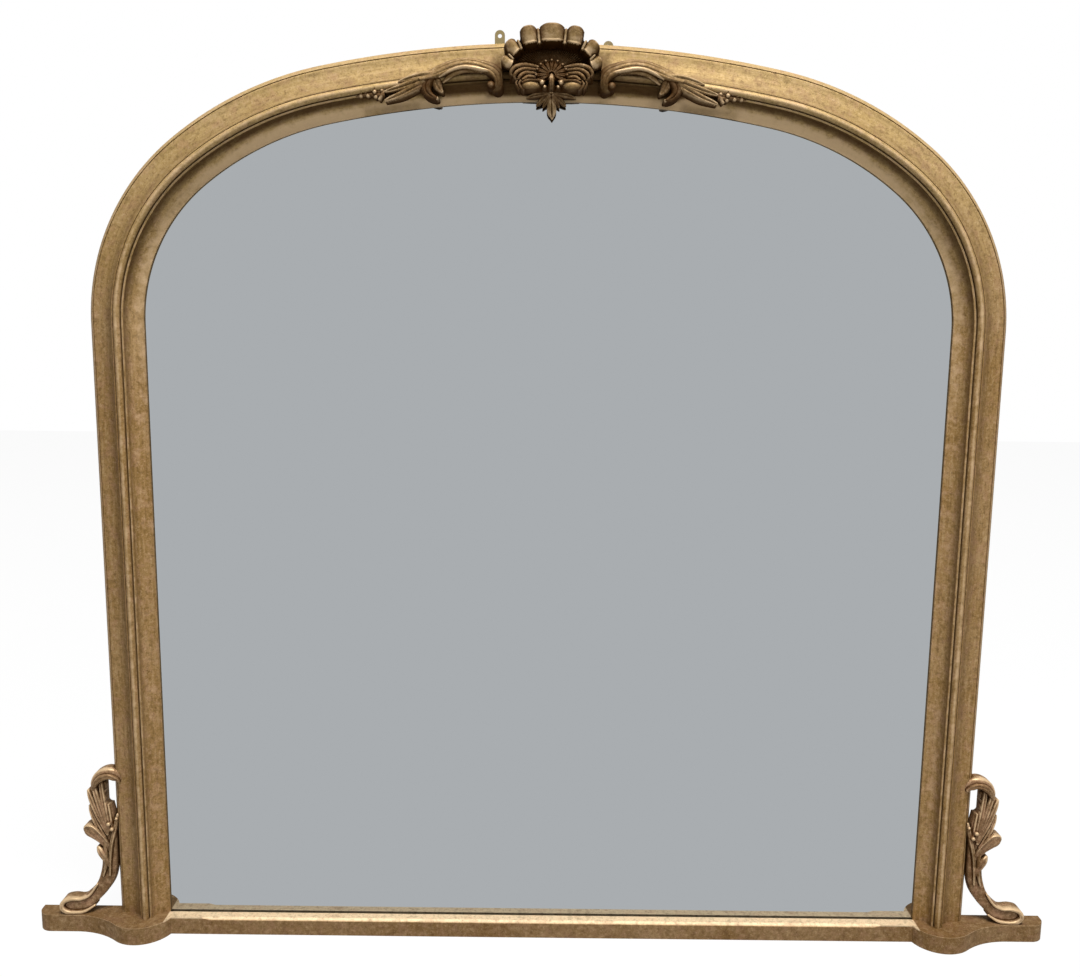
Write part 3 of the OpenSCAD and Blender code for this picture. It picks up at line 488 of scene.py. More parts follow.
def material(name, tree, values, bump, strip=False):
    """A finished surface: a node group on Object coordinates feeding a Principled shader."""
    surface = bpy.data.materials.new(name)
    surface.use_nodes = True
    nodes, links = surface.node_tree.nodes, surface.node_tree.links
    shader = nodes["Principled BSDF"]
    place = nodes.new("ShaderNodeTexCoord").outputs["Object"]
    effect = nodes.new("ShaderNodeGroup")
    effect.node_tree = tree
    links.new(place, effect.inputs["Place"])
    for label, value in values.items():
        effect.inputs[label].default_value = (*value, 1) if hasattr(value, "__len__") else value
    if "Along" in effect.inputs:
        stretch = nodes.new("ShaderNodeMapping")
        stretch.inputs["Scale"].default_value = STRIP_STREAKS if strip else STREAKS
        links.new(nodes.new("ShaderNodeUVMap").outputs["UV"] if strip else place, stretch.inputs["Vector"])
        links.new(stretch.outputs["Vector"], effect.inputs["Along"])
        for label, attribute in MASKS.items():
            layer = nodes.new("ShaderNodeAttribute")
            layer.attribute_name = attribute
            links.new(layer.outputs["Fac"], effect.inputs[label])
        shader.inputs["Specular IOR Level"].default_value = 0.12
        shader.inputs["Specular Tint"].default_value = (1.0, 0.8, 0.55, 1)
    for label, socket in SHADER_INPUTS.items():
        if label in effect.outputs:
            links.new(effect.outputs[label], shader.inputs[socket])
    relief = nodes.new("ShaderNodeBump")
    relief.inputs["Strength"].default_value, relief.inputs["Distance"].default_value = bump
    links.new(effect.outputs["Height"], relief.inputs["Height"])
    links.new(relief.outputs["Normal"], shader.inputs["Normal"])
    return surface


def plate_material(silver):
    """Mirror plate: silvering with a faint cloud, and dark paint behind it."""
    surface = bpy.data.materials.new("silvered_plate")
    surface.use_nodes = True
    tree = surface.node_tree
    shader = tree.nodes["Principled BSDF"]
    place = Value(tree, tree.nodes.new("ShaderNodeTexCoord").outputs["Object"])
    color = blend(place.noise(2.5) * 0.03, (*silver, 1), (0.37, 0.39, 0.405, 1))
    paint = place.part("Y").ramp(-0.0069, -0.0067)
    feed(shader.inputs["Base Color"], blend(paint, color, (0.05, 0.035, 0.03, 1)))
    feed(shader.inputs["Roughness"], place.noise(30.0) * 0.02)
    shader.inputs["Metallic"].default_value = 1.0
    return surface


def surfaces():
    """Every finish by its slot's name, built once."""
    if FINISHES:
        return FINISHES
    f = bpy.context.scene.mirror_finish
    gilding, wood, metal = gilding_group(), wood_group(), metal_group()
    for slot, gold, pale, rise, age, depth, bump in (
            ("gilt_post", f.gold, f.pale_gold, 1, 0.6, 0.85, 0.25),
            ("gilt_arch", f.gold, f.pale_gold, 1, 0.5, 0.9, 0.25),
            ("gilt_base", f.base_gold, f.cream_highlight, 0, 0.5, 0.8, 0.25),
            ("gilt_crest", f.dark_gold, f.pale_gold, 0, 0.3, 1.0, 0.3),
            ("gilt_bracket", f.dark_gold, f.blush, 0, 0.8, 1.0, 0.3)):
        values = {"Gold": gold, "Pale": pale, "Rubbed_and_highlight": f.rubbed_and_highlight, "Blush": f.blush, "Grime_and_shade_colour": f.grime_and_shade_colour,
                  "Painted_height_light": rise, "Age": age, "Depth": depth}
        FINISHES[slot] = material("aged_" + slot, gilding, values, (bump, 0.0004),
                                  strip=slot in ("gilt_post", "gilt_arch"))
    steel = {"Metal": (0.42, 0.4, 0.38), "Tarnish": (0.09, 0.05, 0.03), "Age": 0.7}
    brass = {"Metal": (0.27, 0.21, 0.10), "Tarnish": (0.12, 0.085, 0.04), "Age": 0.6}
    for slot, name, tree, values, bump in (
            ("back_wood", "board_wood", wood, {"Wood": f.pine, "Age": 0.6}, (0.35, 0.0006)),
            ("raw_wood", "bare_wood", wood, {"Wood": (0.46, 0.31, 0.17), "Age": 0.2}, (0.35, 0.0006)),
            ("steel_fasteners", "rusted_steel", metal, steel, (0.2, 0.0002)),
            ("plate_metal", "tarnished_plate", metal, brass, (0.2, 0.0002))):
        FINISHES[slot] = material(name, tree, values, bump)
    FINISHES["mirror_plate"] = plate_material(f.silver)
    return FINISHES


# ---------- carving as a relief ----------

CURVE_STEPS = 6                  # points of a stroke's curve from one row to the next


def spline(rows):
    """A smooth curve through rows of numbers."""
    held = np.vstack([rows[:1], rows, rows[-1:]])
    curve = []
    for a, b, c, d in zip(held, held[1:], held[2:], held[3:]):
        for t in np.arange(CURVE_STEPS) / CURVE_STEPS:
            curve.append(0.5 * (2 * b + (c - a) * t + (2 * a - 5 * b + 4 * c - d) * t * t
                                + (3 * b - a - 3 * c + d) * t ** 3))
    return np.array(curve + [rows[-1]])


class Relief:
    """The front of a carved piece over points x, z: its depth, and how far inside the outline they lie.

    Forms are placed from the relief's origin."""

    def __init__(self, x, z):
        self.x, self.z, self.origin = x, z, (0, 0)
        self.depth = np.full(x.shape, -50.0)
        self.inside = np.full(x.shape, -99.0)
        self.tone, self.pale = np.zeros(x.shape), np.zeros(x.shape)

    def trim(self, *limits):
        """Cut the outline off where a limit falls below 0."""
        for limit in limits:
            self.inside = np.minimum(self.inside, limit)

    def lay(self, depth, inside, tone=0.0, pale=0.0, near=..., wall=4.0, under=None):
        """Lay a form on the relief; what lies lower stays hidden. Tone above 0 darkens as toning and
        painted shade, below 0 rubs bright as wear and painted highlight.
        """
        steep = np.where(inside < 0, depth + wall * inside, depth)
        if under is not None:
            tone = np.where(inside < 0, under, tone)
        over = steep > self.depth[near]
        for field, value in ((self.depth, steep), (self.tone, tone), (self.pale, pale)):
            field[near] = np.where(over, value, field[near])
        self.inside[near] = np.maximum(self.inside[near], inside)

    def stroke(self, rows, crown=5.5, dish=0.0, lip=0.0, reeds=0, cut=0.0, lean=0.0, crease=0.0,
               fade=0.25, edge=0.9, tone=0.0, pale=0.0, side=1):
        """A carved stroke along rows of (x, z, half width, depth), shaped across by its options."""
        curve = spline(np.array(rows) * (side, 1.0, 1.0, 1.0) + (*self.origin, 0, 0))
        low = curve[:, :2].min(0) - curve[:, 2].max() - 3
        high = curve[:, :2].max(0) + curve[:, 2].max() + 3
        near = (self.x > low[0]) & (self.x < high[0]) & (self.z > low[1]) & (self.z < high[1])
        x, z = self.x[near], self.z[near]
        inside = np.full(x.shape, -99.0)
        across, along, half, depth = (np.zeros(x.shape) for _ in range(4))
        for i, (a, b) in enumerate(zip(curve, curve[1:])):
            d = b[:2] - a[:2]
            u = np.clip(((x - a[0]) * d[0] + (z - a[1]) * d[1]) / max(d @ d, 1e-9), 0, 1)
            ex, ez = x - a[0] - u * d[0], z - a[1] - u * d[1]
            w = a[2] + u * (b[2] - a[2])
            gap = w - np.hypot(ex, ez)
            better = gap > inside
            hand = np.where(d[0] * ez - d[1] * ex > 0, 1.0, -1.0)
            inside = np.where(better, gap, inside)
            across = np.where(better, hand * np.hypot(ex, ez) / np.maximum(w, 0.1), across)
            along = np.where(better, (i + u) / (len(curve) - 1), along)
            half = np.where(better, w, half)
            depth = np.where(better, a[3] + u * (b[3] - a[3]), depth)
        s = np.clip(np.abs(across), 0, 1)
        top = depth - np.minimum(edge * half, crown) * (1 - np.sqrt(1 - 0.985 * s ** 2.4))
        top += lean * np.clip(across, -1, 1)
        top -= dish * (1 - s ** 2) ** 1.5
        window = np.clip(np.minimum(along, 1 - along) / fade, 0, 1)
        if reeds:
            top -= cut * window * (1 - np.abs(np.sin(math.pi * reeds * (across + 1) / 2))) ** 1.6
        if crease:
            top -= crease * window * np.exp(-(across * half / 1.1) ** 2)
        if lip:
            top += abs(lip) * np.exp(-((across * np.sign(lip) - 0.82) / 0.16) ** 2)
        # painted shade: the stroke darkens towards its sides, and its pale painted highlight fades there
        self.lay(top, inside, tone + 0.35 * s ** 4, pale * (1 - 0.6 * s ** 4), near)

    def pearl(self, x, z, r, depth, tone=-0.35):
        """A round berry on its place."""
        far = np.hypot(self.x - (x + self.origin[0]), self.z - (z + self.origin[1]))
        # painted shade darkens the pearl towards its rim
        self.lay(depth - r + np.sqrt(np.maximum(r * r - far * far, 0)), r - far,
                 tone + 0.7 * np.clip(far / r, 0, 1) ** 3)

    def lobe(self, foot, head, half_foot, half_head, low, high, side=1):
        """A rolled lobe from its foot to its head: rounded outline, barrel face, thin lip at the foot, with
        painted light and shade on it.
        """
        foot, head = (np.array(end) * (side, 1.0) + self.origin for end in (foot, head))
        d = head - foot
        long = math.hypot(*d)
        d = d / long
        x, z = self.x - foot[0], self.z - foot[1]
        u = (x * d[0] + z * d[1]) / long
        q = (x * d[1] - z * d[0]) / (half_foot + (half_head - half_foot) * np.clip(u, 0, 1))
        across = np.clip(np.abs(q), 0, 1)
        start, stop = 0.07 * across ** 2, 1 - 0.2 * across ** 2.6
        p = np.clip((u - start) / (stop - start), 0, 1)
        inside = np.minimum(np.minimum(u - start, stop - u) * long, (1 - np.abs(q)) * half_head)
        face = low + (high - low) * np.clip(p / 0.7, 0, 1) ** 0.8
        face -= 7.5 * np.clip((p - 0.86) / 0.14, 0, 1) ** 2.5 + 5.5 * across ** 3.0
        face += 0.5 * np.exp(-((p - 0.05) / 0.045) ** 2)
        # painted light: darker towards the head and the sides, with painted highlights at the lip and low
        # on the face
        tone = 0.5 * np.clip((p - 0.5) / 0.4, 0, 1) + 0.6 * across ** 2.6 - 0.15
        rubbed_and_highlight = 0.25 * np.exp(-((p - 0.05) / 0.07) ** 2) + 0.5 * np.exp(-((p - 0.28) / 0.2) ** 2)
        tone -= rubbed_and_highlight * (1 - across ** 2)
        # painted highlight across the middle of the face, and painted shade on the walls below
        self.lay(face, inside, tone, 0.6 * (1 - across ** 3) * (1 - p ** 3), wall=9.0, under=0.95)


def blurred(field, reach):
    """A field smoothed over a reach of whole cells, both ways."""
    for axis in (0, 1):
        padded = np.pad(field, [(reach + 1, reach) if k == axis else (0, 0) for k in (0, 1)], "edge")
        total = np.cumsum(padded, axis)
        places = np.arange(field.shape[axis])
        gained = np.take(total, places + 2 * reach + 1, axis) - np.take(total, places, axis)
        field = gained / (2 * reach + 1)
    return field


def carved(name, box, carve, bed, seat, thick):
    """A closed mesh of a relief: its front, walls and a back that lies on the moulding behind it."""
    step = sizes().grid / MM
    x, z = np.meshgrid(np.arange(box[0], box[1], step), np.arange(box[2], box[3], step))

    def surface(x, z):
        r = Relief(x, z)
        carve(r)
        behind = np.maximum(bed, seat(x, z))
        back = np.where(seat(x, z) > 1, behind, np.maximum(behind, r.depth - thick))
        return r, np.minimum(r.inside, (r.depth - behind - 0.4) * 0.5), back

    relief, inside, back = surface(x, z)
    keep = inside > -0.45 * step
    around = np.pad(keep, 1)
    full = np.ones_like(keep)
    for i in range(3):
        for k in range(3):
            full &= around[i:i + keep.shape[0], k:k + keep.shape[1]]
    # The outer points are pulled on to the outline.
    rim = keep & ~full
    gz, gx = np.gradient(inside, step)
    pull = np.clip(-inside / np.maximum(gx ** 2 + gz ** 2, 0.25), -0.8 * step, 0.8 * step)
    px, pz = np.where(rim, x + pull * gx, x), np.where(rim, z + pull * gz, z)
    pulled, _, back = surface(px, pz)
    cells = keep[:-1, :-1] & keep[1:, :-1] & keep[:-1, 1:] & keep[1:, 1:]
    # Cells that meet only at a corner are parted, so that the mesh stays closed.
    for _ in range(3):
        a, b, c, d = cells[:-1, :-1], cells[1:, 1:], cells[:-1, 1:], cells[1:, :-1]
        a &= ~(a & b & ~c & ~d)
        c &= ~(c & d & ~a & ~b)
    rows, cols = np.nonzero(cells)
    corner, wide = rows * x.shape[1] + cols, x.shape[1]
    quads = np.stack([corner, corner + 1, corner + wide + 1, corner + wide], 1)
    used, flat = np.unique(quads, return_inverse=True)
    quads = flat.reshape(quads.shape)
    px, pz, depth, back = (v.ravel()[used] for v in (px, pz, pulled.depth, back))
    depth = np.maximum(depth, back + 0.3)
    edges = {}
    for q in quads:
        for a, b in zip(q, np.roll(q, -1)):
            if (b, a) in edges:
                del edges[(b, a)]
            else:
                edges[(a, b)] = True
    n = len(used)
    points = np.vstack([np.stack([px, -depth, pz], 1), np.stack([px, -back, pz], 1)]) * MM
    faces = [tuple(q) for q in quads.tolist()] + [tuple(q) for q in (quads[:, ::-1] + n).tolist()]
    mesh = bpy.data.meshes.new(name)
    mesh.from_pydata(points.tolist(), [], faces + [(b, a, a + n, b + n) for a, b in edges])
    mesh.update()
    piece = bpy.data.objects.new(name, mesh)
    bpy.context.collection.objects.link(piece)
    with editing(piece):
        bpy.ops.mesh.normals_make_consistent(inside=False)
    bpy.ops.object.shade_smooth_by_angle(angle=math.radians(62))
    # What lies lower than its surroundings gets grime and painted shade, and what lies higher gets wear and
    # a painted highlight.
    field = np.maximum(relief.depth, np.maximum(bed, seat(x, z)))
    closely, widely = (blurred(field, max(least, round(reach / step)))
                       for least, reach in ((1, 1.2), (2, 4.0)))
    tone = relief.tone
    hollow = np.clip((closely - field) / 0.9, 0, 1) * 0.7 + np.clip((widely - field) / 4.0, 0, 1) * 0.8
    rubbed_and_highlight = (np.clip((field - closely) / 0.45, 0, 1) + np.clip((field - widely) / 3.0, 0, 1)) * 0.6
    rubbed_and_highlight = (rubbed_and_highlight + np.clip(-tone, 0, 1)) * np.clip(1 - 1.5 * tone, 0.15, 1)
    # painted shade: the walls darken towards their foot where they sit on the moulding, less where they
    # hang free
    seat_shade = np.where(seat(px, pz) > 1, 1.0, 0.3)
    for label, front, rear in (("hollow", hollow + np.clip(tone, 0, 1), seat_shade),
                               ("rubbed_and_highlight", rubbed_and_highlight, np.zeros(n)), ("pale", relief.pale, np.zeros(n))):
        mask(piece, label, np.concatenate([front.ravel()[used], rear]))
    return piece


def crown_seat(x, z):
    """Depth at which the crown's front lies behind a point."""
    (cx, cz), r, _, _ = arch()["crown"]
    return seat_depth(r - np.hypot(x - cx, z - cz)) + SEAT_GAP


# ---------- the carved forms, from the shell's middle or from the foot of the left post ----------

SHELL_FOOT = 6.1                     # from the shell's middle down to where shell and palmette end
SCROLL_END, HUSK_START = 205.07, 205.37   # from the middle of the crown
HUSK_AT = 0.706                      # where the husk starts, as a share of the crown's half width
HUSK_FRONT = 47                      # depth from which the husk's forms are set back


def shell_middle():
    (_, cz), radius, _, _ = arch()["crown"]
    return cz + radius - sizes().shell_drop / MM


def carve_shell(r):
    """Scallop shell: rolled lobes over a deep fluted bowl, with curved ribs to both sides."""
    mid, radius = shell_middle(), sizes().shell_r / MM
    r.origin = (0, mid)
    x, z = r.x, r.z - mid
    far, turn = np.hypot(x, z), np.degrees(np.arctan2(z, x))
    turn = np.where(turn < -90, turn + 360, turn)
    rim = radius * (1 + 0.125 * np.sin(2 * np.radians(turn)) ** 2)
    # bowl, painted dark for the shade under the lobes, with lighter flute ridges
    bowl = np.interp(far / rim, [0, 0.28, 0.42, 0.58, 0.74, 0.86, 1.0], [43, 42, 38, 33, 33, 38, 40])
    flute = np.abs(np.sin(np.radians(180) * turn / 3.6))
    bowl = bowl - 1.3 * (1 - flute) * np.clip((far - 16) / 14, 0, 1)
    bowl_in = np.minimum(np.minimum(0.87 * rim - far, (turn + 12) * 0.8), (192 - turn) * 0.8)
    r.lay(bowl, np.minimum(bowl_in, z + SHELL_FOOT), 0.97 - 0.5 * flute)
    # tongues between the lobes, then the lobes
    for side in (-1, 1):
        for foot, head, w in (((15.2, 35.2), (17.2, 53.6), 2.6), ((36.6, 28.6), (42.0, 39.6), 2.2),
                              ((46.2, 17.0), (53.2, 22.8), 2.0)):
            r.lobe(foot, head, w, w, 52, 55, side)
        for foot, head, w0, w1, high in (((26.0, 34.4), (30.0, 55.8), 8.8, 10.6, 59.0),
                                         ((42.0, 24.4), (54.6, 37.6), 6.8, 8.8, 57.6),
                                         ((47.4, 11.4), (61.4, 17.4), 6.0, 7.0, 55.6)):
            r.lobe(foot, head, w0, w1, high - 3, high, side)
    r.lobe((0, 37.2), (0, 59.0), 13.6, 15.4, 56.6, 59.6)
    # curled ribs on both sides
    for side in (-1, 1):
        for rows in ([[16, 9.6, 1.5, 47], [32, 11.4, 2.3, 51], [44.6, 7.8, 2.4, 54], [49.4, 1.4, 2.0, 53],
                      [47.0, -2.0, 1.1, 51]],
                     [[18, 6.4, 1.5, 47], [33, 6.8, 2.2, 50.6], [42.6, 1.8, 2.3, 53.4],
                      [45, -3.6, 1.8, 52.4], [42.4, -6, 1.0, 50]],
                     [[19, 2.2, 1.5, 47], [31, 2.4, 2.1, 50.2], [38, -2.0, 2.1, 53], [40.4, -6.4, 1.6, 52]],
                     [[20, -2.0, 1.5, 47], [29, -2.2, 2.0, 50], [35.4, -7, 1.8, 52]]):
            r.stroke(rows, crown=3.2, lip=0.8 * side, edge=1.4, tone=0.34, pale=0.1, side=side)
    r.trim(z + SHELL_FOOT, 1.04 * rim - far)


def carve_palmette(r):
    """Fan of petals with a pearl at each tip, and a bud in the middle."""
    r.origin = (0, shell_middle())
    x, z = r.x / 1.1, r.z - r.origin[1]
    r.lay(np.full(r.x.shape, 45.6), np.minimum(16.8 - np.hypot(x, z), z + SHELL_FOOT), 0.8)
    for i in range(-1, 10):
        c, s = 1.1 * math.cos(math.radians(22.5 * i)), math.sin(math.radians(22.5 * i))
        r.stroke([[4 * c, 4 * s, 0.8, 50], [10 * c, 10 * s, 1.7, 50.4], [15.4 * c, 15.4 * s, 2.3, 48.4]],
                 crown=2.0, crease=1.0, fade=0.1, tone=0.62)
        r.pearl(17.2 * c, 17.2 * s, 1.7, 50, 0.3)
    r.stroke([[0, -1, 1.8, 53], [0, -5, 2.8, 56], [0, -9, 3.2, 57], [0, -12, 3.2, 57]], crown=3, tone=0.25,
             pale=0.1)
    r.trim(z + SHELL_FOOT)


def carve_cup(r):
    """Egg-shaped cup in layered calyx leaves, left of the middle, with half of the bud."""
    mid = shell_middle()
    r.origin = (0, mid)
    r.stroke([[-2, -15.6, 3, 43], [-12, -15.4, 3.4, 44], [-24, -15, 3.6, 44], [-34, -12, 3.4, 45]], crown=2,
             tone=0.75)
    for rows in ([[-41.6, -7.4, 1.2, 51], [-43, -11, 1.4, 51], [-40, -16, 1.3, 50]],
                 [[-37.4, -7.6, 1.3, 52], [-39.2, -11.4, 1.5, 52], [-35.6, -16.2, 1.5, 51],
                  [-30, -18.6, 1.3, 50]],
                 [[-9, -8.2, 1.3, 53], [-18, -6.9, 1.6, 55], [-28, -7.2, 1.6, 55], [-35, -9.6, 1.3, 53.4]]):
        r.stroke(rows, crown=2, tone=0.42, pale=0.05)
    # painted light on the egg: lighter on top and in the middle, darker below and round its rim, with a
    # pale highlight
    dx, dz = (r.x + 25) / 13.2, (r.z - mid + 12.9) / 6.9
    off = np.clip(np.hypot(dx, dz), 0, 1)
    r.lay(46 + 9 * np.sqrt(1 - 0.99 * off ** 2), (1 - np.hypot(dx, dz)) * 6.9,
          0.85 * off ** 3 - 0.45 * np.clip(dz + 0.1, -1, 1) + 0.05, 0.5 * (1 - off ** 2))
    r.pearl(-11.8, -9.8, 3.1, 55.4, -0.05)
    r.pearl(-8.2, -14.6, 2.2, 53, 0.1)
    r.stroke([[0, -5, 2.8, 56], [0, -9, 3.2, 57], [0, -13, 2.8, 56], [0, -16, 1.6, 52]], crown=3, tone=0.35,
             pale=0.1)
    # half of the slit on the centre line, the palmette above and the pendant below
    r.trim(-0.15 - r.x, mid - 6.4 - r.z, r.z - mid + 17.7)


def carve_pendant(r):
    """Leaflets fanned under the cups, the longest hanging over the plate."""
    mid = shell_middle()
    r.origin = (0, mid)
    r.stroke([[-22, -19.4, 2.6, 27], [0, -20.4, 3.6, 33], [22, -19.4, 2.6, 27]], crown=2, tone=0.8)
    for side in (-1, 1):
        for rows in ([[3, -18.4, 2.4, 38], [15, -19.4, 3.0, 34], [24, -20.6, 2.4, 29],
                      [30, -21.8, 0.9, 25]],
                     [[3, -20, 2.4, 38], [10, -24.2, 3.2, 31], [15, -28, 2.4, 26], [18, -30.6, 0.9, 23]],
                     [[2, -21, 2.2, 38], [5.4, -26.4, 2.6, 31], [8.4, -29.8, 1.8, 26],
                      [10, -32.4, 0.9, 23.4]]):
            r.stroke(rows, crown=2.4, crease=1.4, lean=0.8 * side, tone=0.25, pale=0.15, side=side)
    r.stroke([[0, -16, 2.4, 42], [0, -24, 3.2, 34], [0.5, -31, 5.4, 29], [0.8, -37, 5.8, 26.4],
              [1.2, -42.4, 2.8, 24], [1.3, -46, 0.9, 22]], crown=3.4, crease=1.8, fade=0.12, tone=-0.2,
             pale=0.3)
    r.trim(mid - 18 - r.z)


def carve_scroll(r):
    """Broad C-scroll with a bulb beside the shell, breaking into acanthus leaves."""
    mid = shell_middle()
    r.origin = (0, mid)
    # leaves towards the husk
    r.stroke([[-155, -9, 4.6, 42], [-168, -14.4, 5.2, 41], [-184, -22, 4.4, 39.6], [-198, -27, 2.6, 38],
              [-206, -30, 1.0, 36]], crown=4, crease=1.6, lean=-0.8, tone=0.1, pale=0.25)
    r.stroke([[-152, -3, 4.8, 43], [-168, -8.6, 5.4, 42], [-184, -13.6, 4.4, 40.4], [-197, -17, 2.6, 38.6],
              [-206, -19, 1.0, 36]], crown=4, crease=1.8, lean=-0.8, tone=0.05, pale=0.35)
    r.stroke([[-148, 0.4, 4.6, 44], [-163, -1.4, 4.4, 43], [-176, -4.4, 3.4, 41.6], [-187, -7.4, 1.2, 39]],
             crown=3.6, crease=1.4, lean=-0.6, tone=0.15, pale=0.45)
    # dark leaf curling down
    r.stroke([[-143, 0, 5.0, 41.4], [-141.4, -7, 6.2, 41], [-139, -13.4, 5.2, 40],
              [-134.6, -18.4, 2.2, 38.6]], crown=3.4, crease=1.0, tone=0.15, pale=0.1)
    r.stroke([[-149, -3, 6.4, 43], [-154, -11, 7.2, 42.6], [-153.4, -18.4, 6.0, 42],
              [-148.6, -23.6, 4.4, 41], [-143, -26.4, 2.8, 41]], crown=4.4, lean=1.0, reeds=2, cut=1.2,
             tone=0.6)
    r.pearl(-140.6, -26.6, 2.2, 40, -0.2)
    # inner crescent
    r.stroke([[-133, -7, 1.6, 38], [-126, -1.6, 3.0, 41], [-117.8, 3.4, 3.6, 43], [-108, 6.2, 3.6, 43.6],
              [-97, 6.4, 3.0, 43], [-86, 3.6, 1.4, 41]], crown=3.4, tone=0.1, pale=0.3)
    # band, its rubbed lower rim and the roll beside the shell
    r.stroke([[-70, -15.4, 3.4, 44], [-65.6, -14.6, 5.4, 46], [-63.6, -8, 6.4, 47.4],
              [-65.2, -0.4, 8.2, 47.6], [-71.4, 5.6, 8.4, 47.6], [-80.6, 9.8, 7.6, 47],
              [-89.6, 12.6, 7.0, 47], [-99.3, 14.0, 7.0, 47], [-107.9, 14.0, 7.0, 46.6],
              [-118, 12.2, 7.2, 46], [-130, 8.0, 7.6, 45], [-140, 3.8, 7.2, 44.4], [-150, 0.0, 5.6, 43.6],
              [-160, -3.2, 3.6, 42.6]], crown=5, lean=2.2, reeds=3, cut=1.0, tone=0.2, pale=0.36)
    r.stroke([[-70, 0.6, 1.4, 47.4], [-77.6, 4.2, 1.9, 48.6], [-88.6, 6.6, 2.0, 49], [-99, 8.4, 2.0, 48.6],
              [-108, 8.8, 2.0, 48], [-118, 6.8, 1.9, 47.2], [-128, 2.8, 1.6, 46], [-137, -2, 1.0, 44]],
             crown=2, tone=-0.35, pale=0.25)
    r.pearl(-74, -11.8, 5.0, 49.4, 0.2)
    # painted shade: the scroll darkens towards the shell
    r.tone = r.tone + 0.45 * np.clip((r.x + 90) / 26, 0, 1)
    r.trim(np.hypot(r.x, r.z - mid) - sizes().shell_r / MM - 1.2, r.x + SCROLL_END)


def along_husk(rows):
    """Rows of (way past the husk's start, drop, half width, set-back), placed on the left of the crown."""
    (_, cz), radius, start, _ = arch()["crown"]
    end = HUSK_AT * radius * math.cos(start)
    return [[-(end + u), cz + math.sqrt(radius ** 2 - (end + u) ** 2) - drop, w, HUSK_FRONT - back]
            for u, drop, w, back in rows]


def carve_husk(r):
    """Husk of buds and berries at the end of a scroll."""
    leaf = [[-2.1, 55.2, 3.8, 11], [12.9, 51.2, 4.4, 11.8], [25, 50, 3.8, 12.8], [34.9, 52.2, 1.6, 15]]
    collar = [[7, 59.6, 1.6, 12], [3, 54, 2.0, 10.6], [0.9, 49, 1.6, 12]]
    berries = [[3.5, 50.3, 2.6, 10], [12.6, 45.8, 3.2, 10], [12.4, 50.6, 3.0, 9], [11.3, 55.9, 2.8, 11],
               [18.4, 47.4, 2.4, 10.6], [24.2, 47.2, 3.2, 11], [29.9, 51.6, 3.0, 13],
               [21, 53.1, 2.8, 12]]
    r.stroke(along_husk(leaf), crown=2.6, crease=0.8, tone=0.3)
    r.stroke(along_husk(collar), crown=1.6)
    for berry in along_husk(berries):
        r.pearl(*berry, -0.15)
    r.trim(-HUSK_START - r.x)


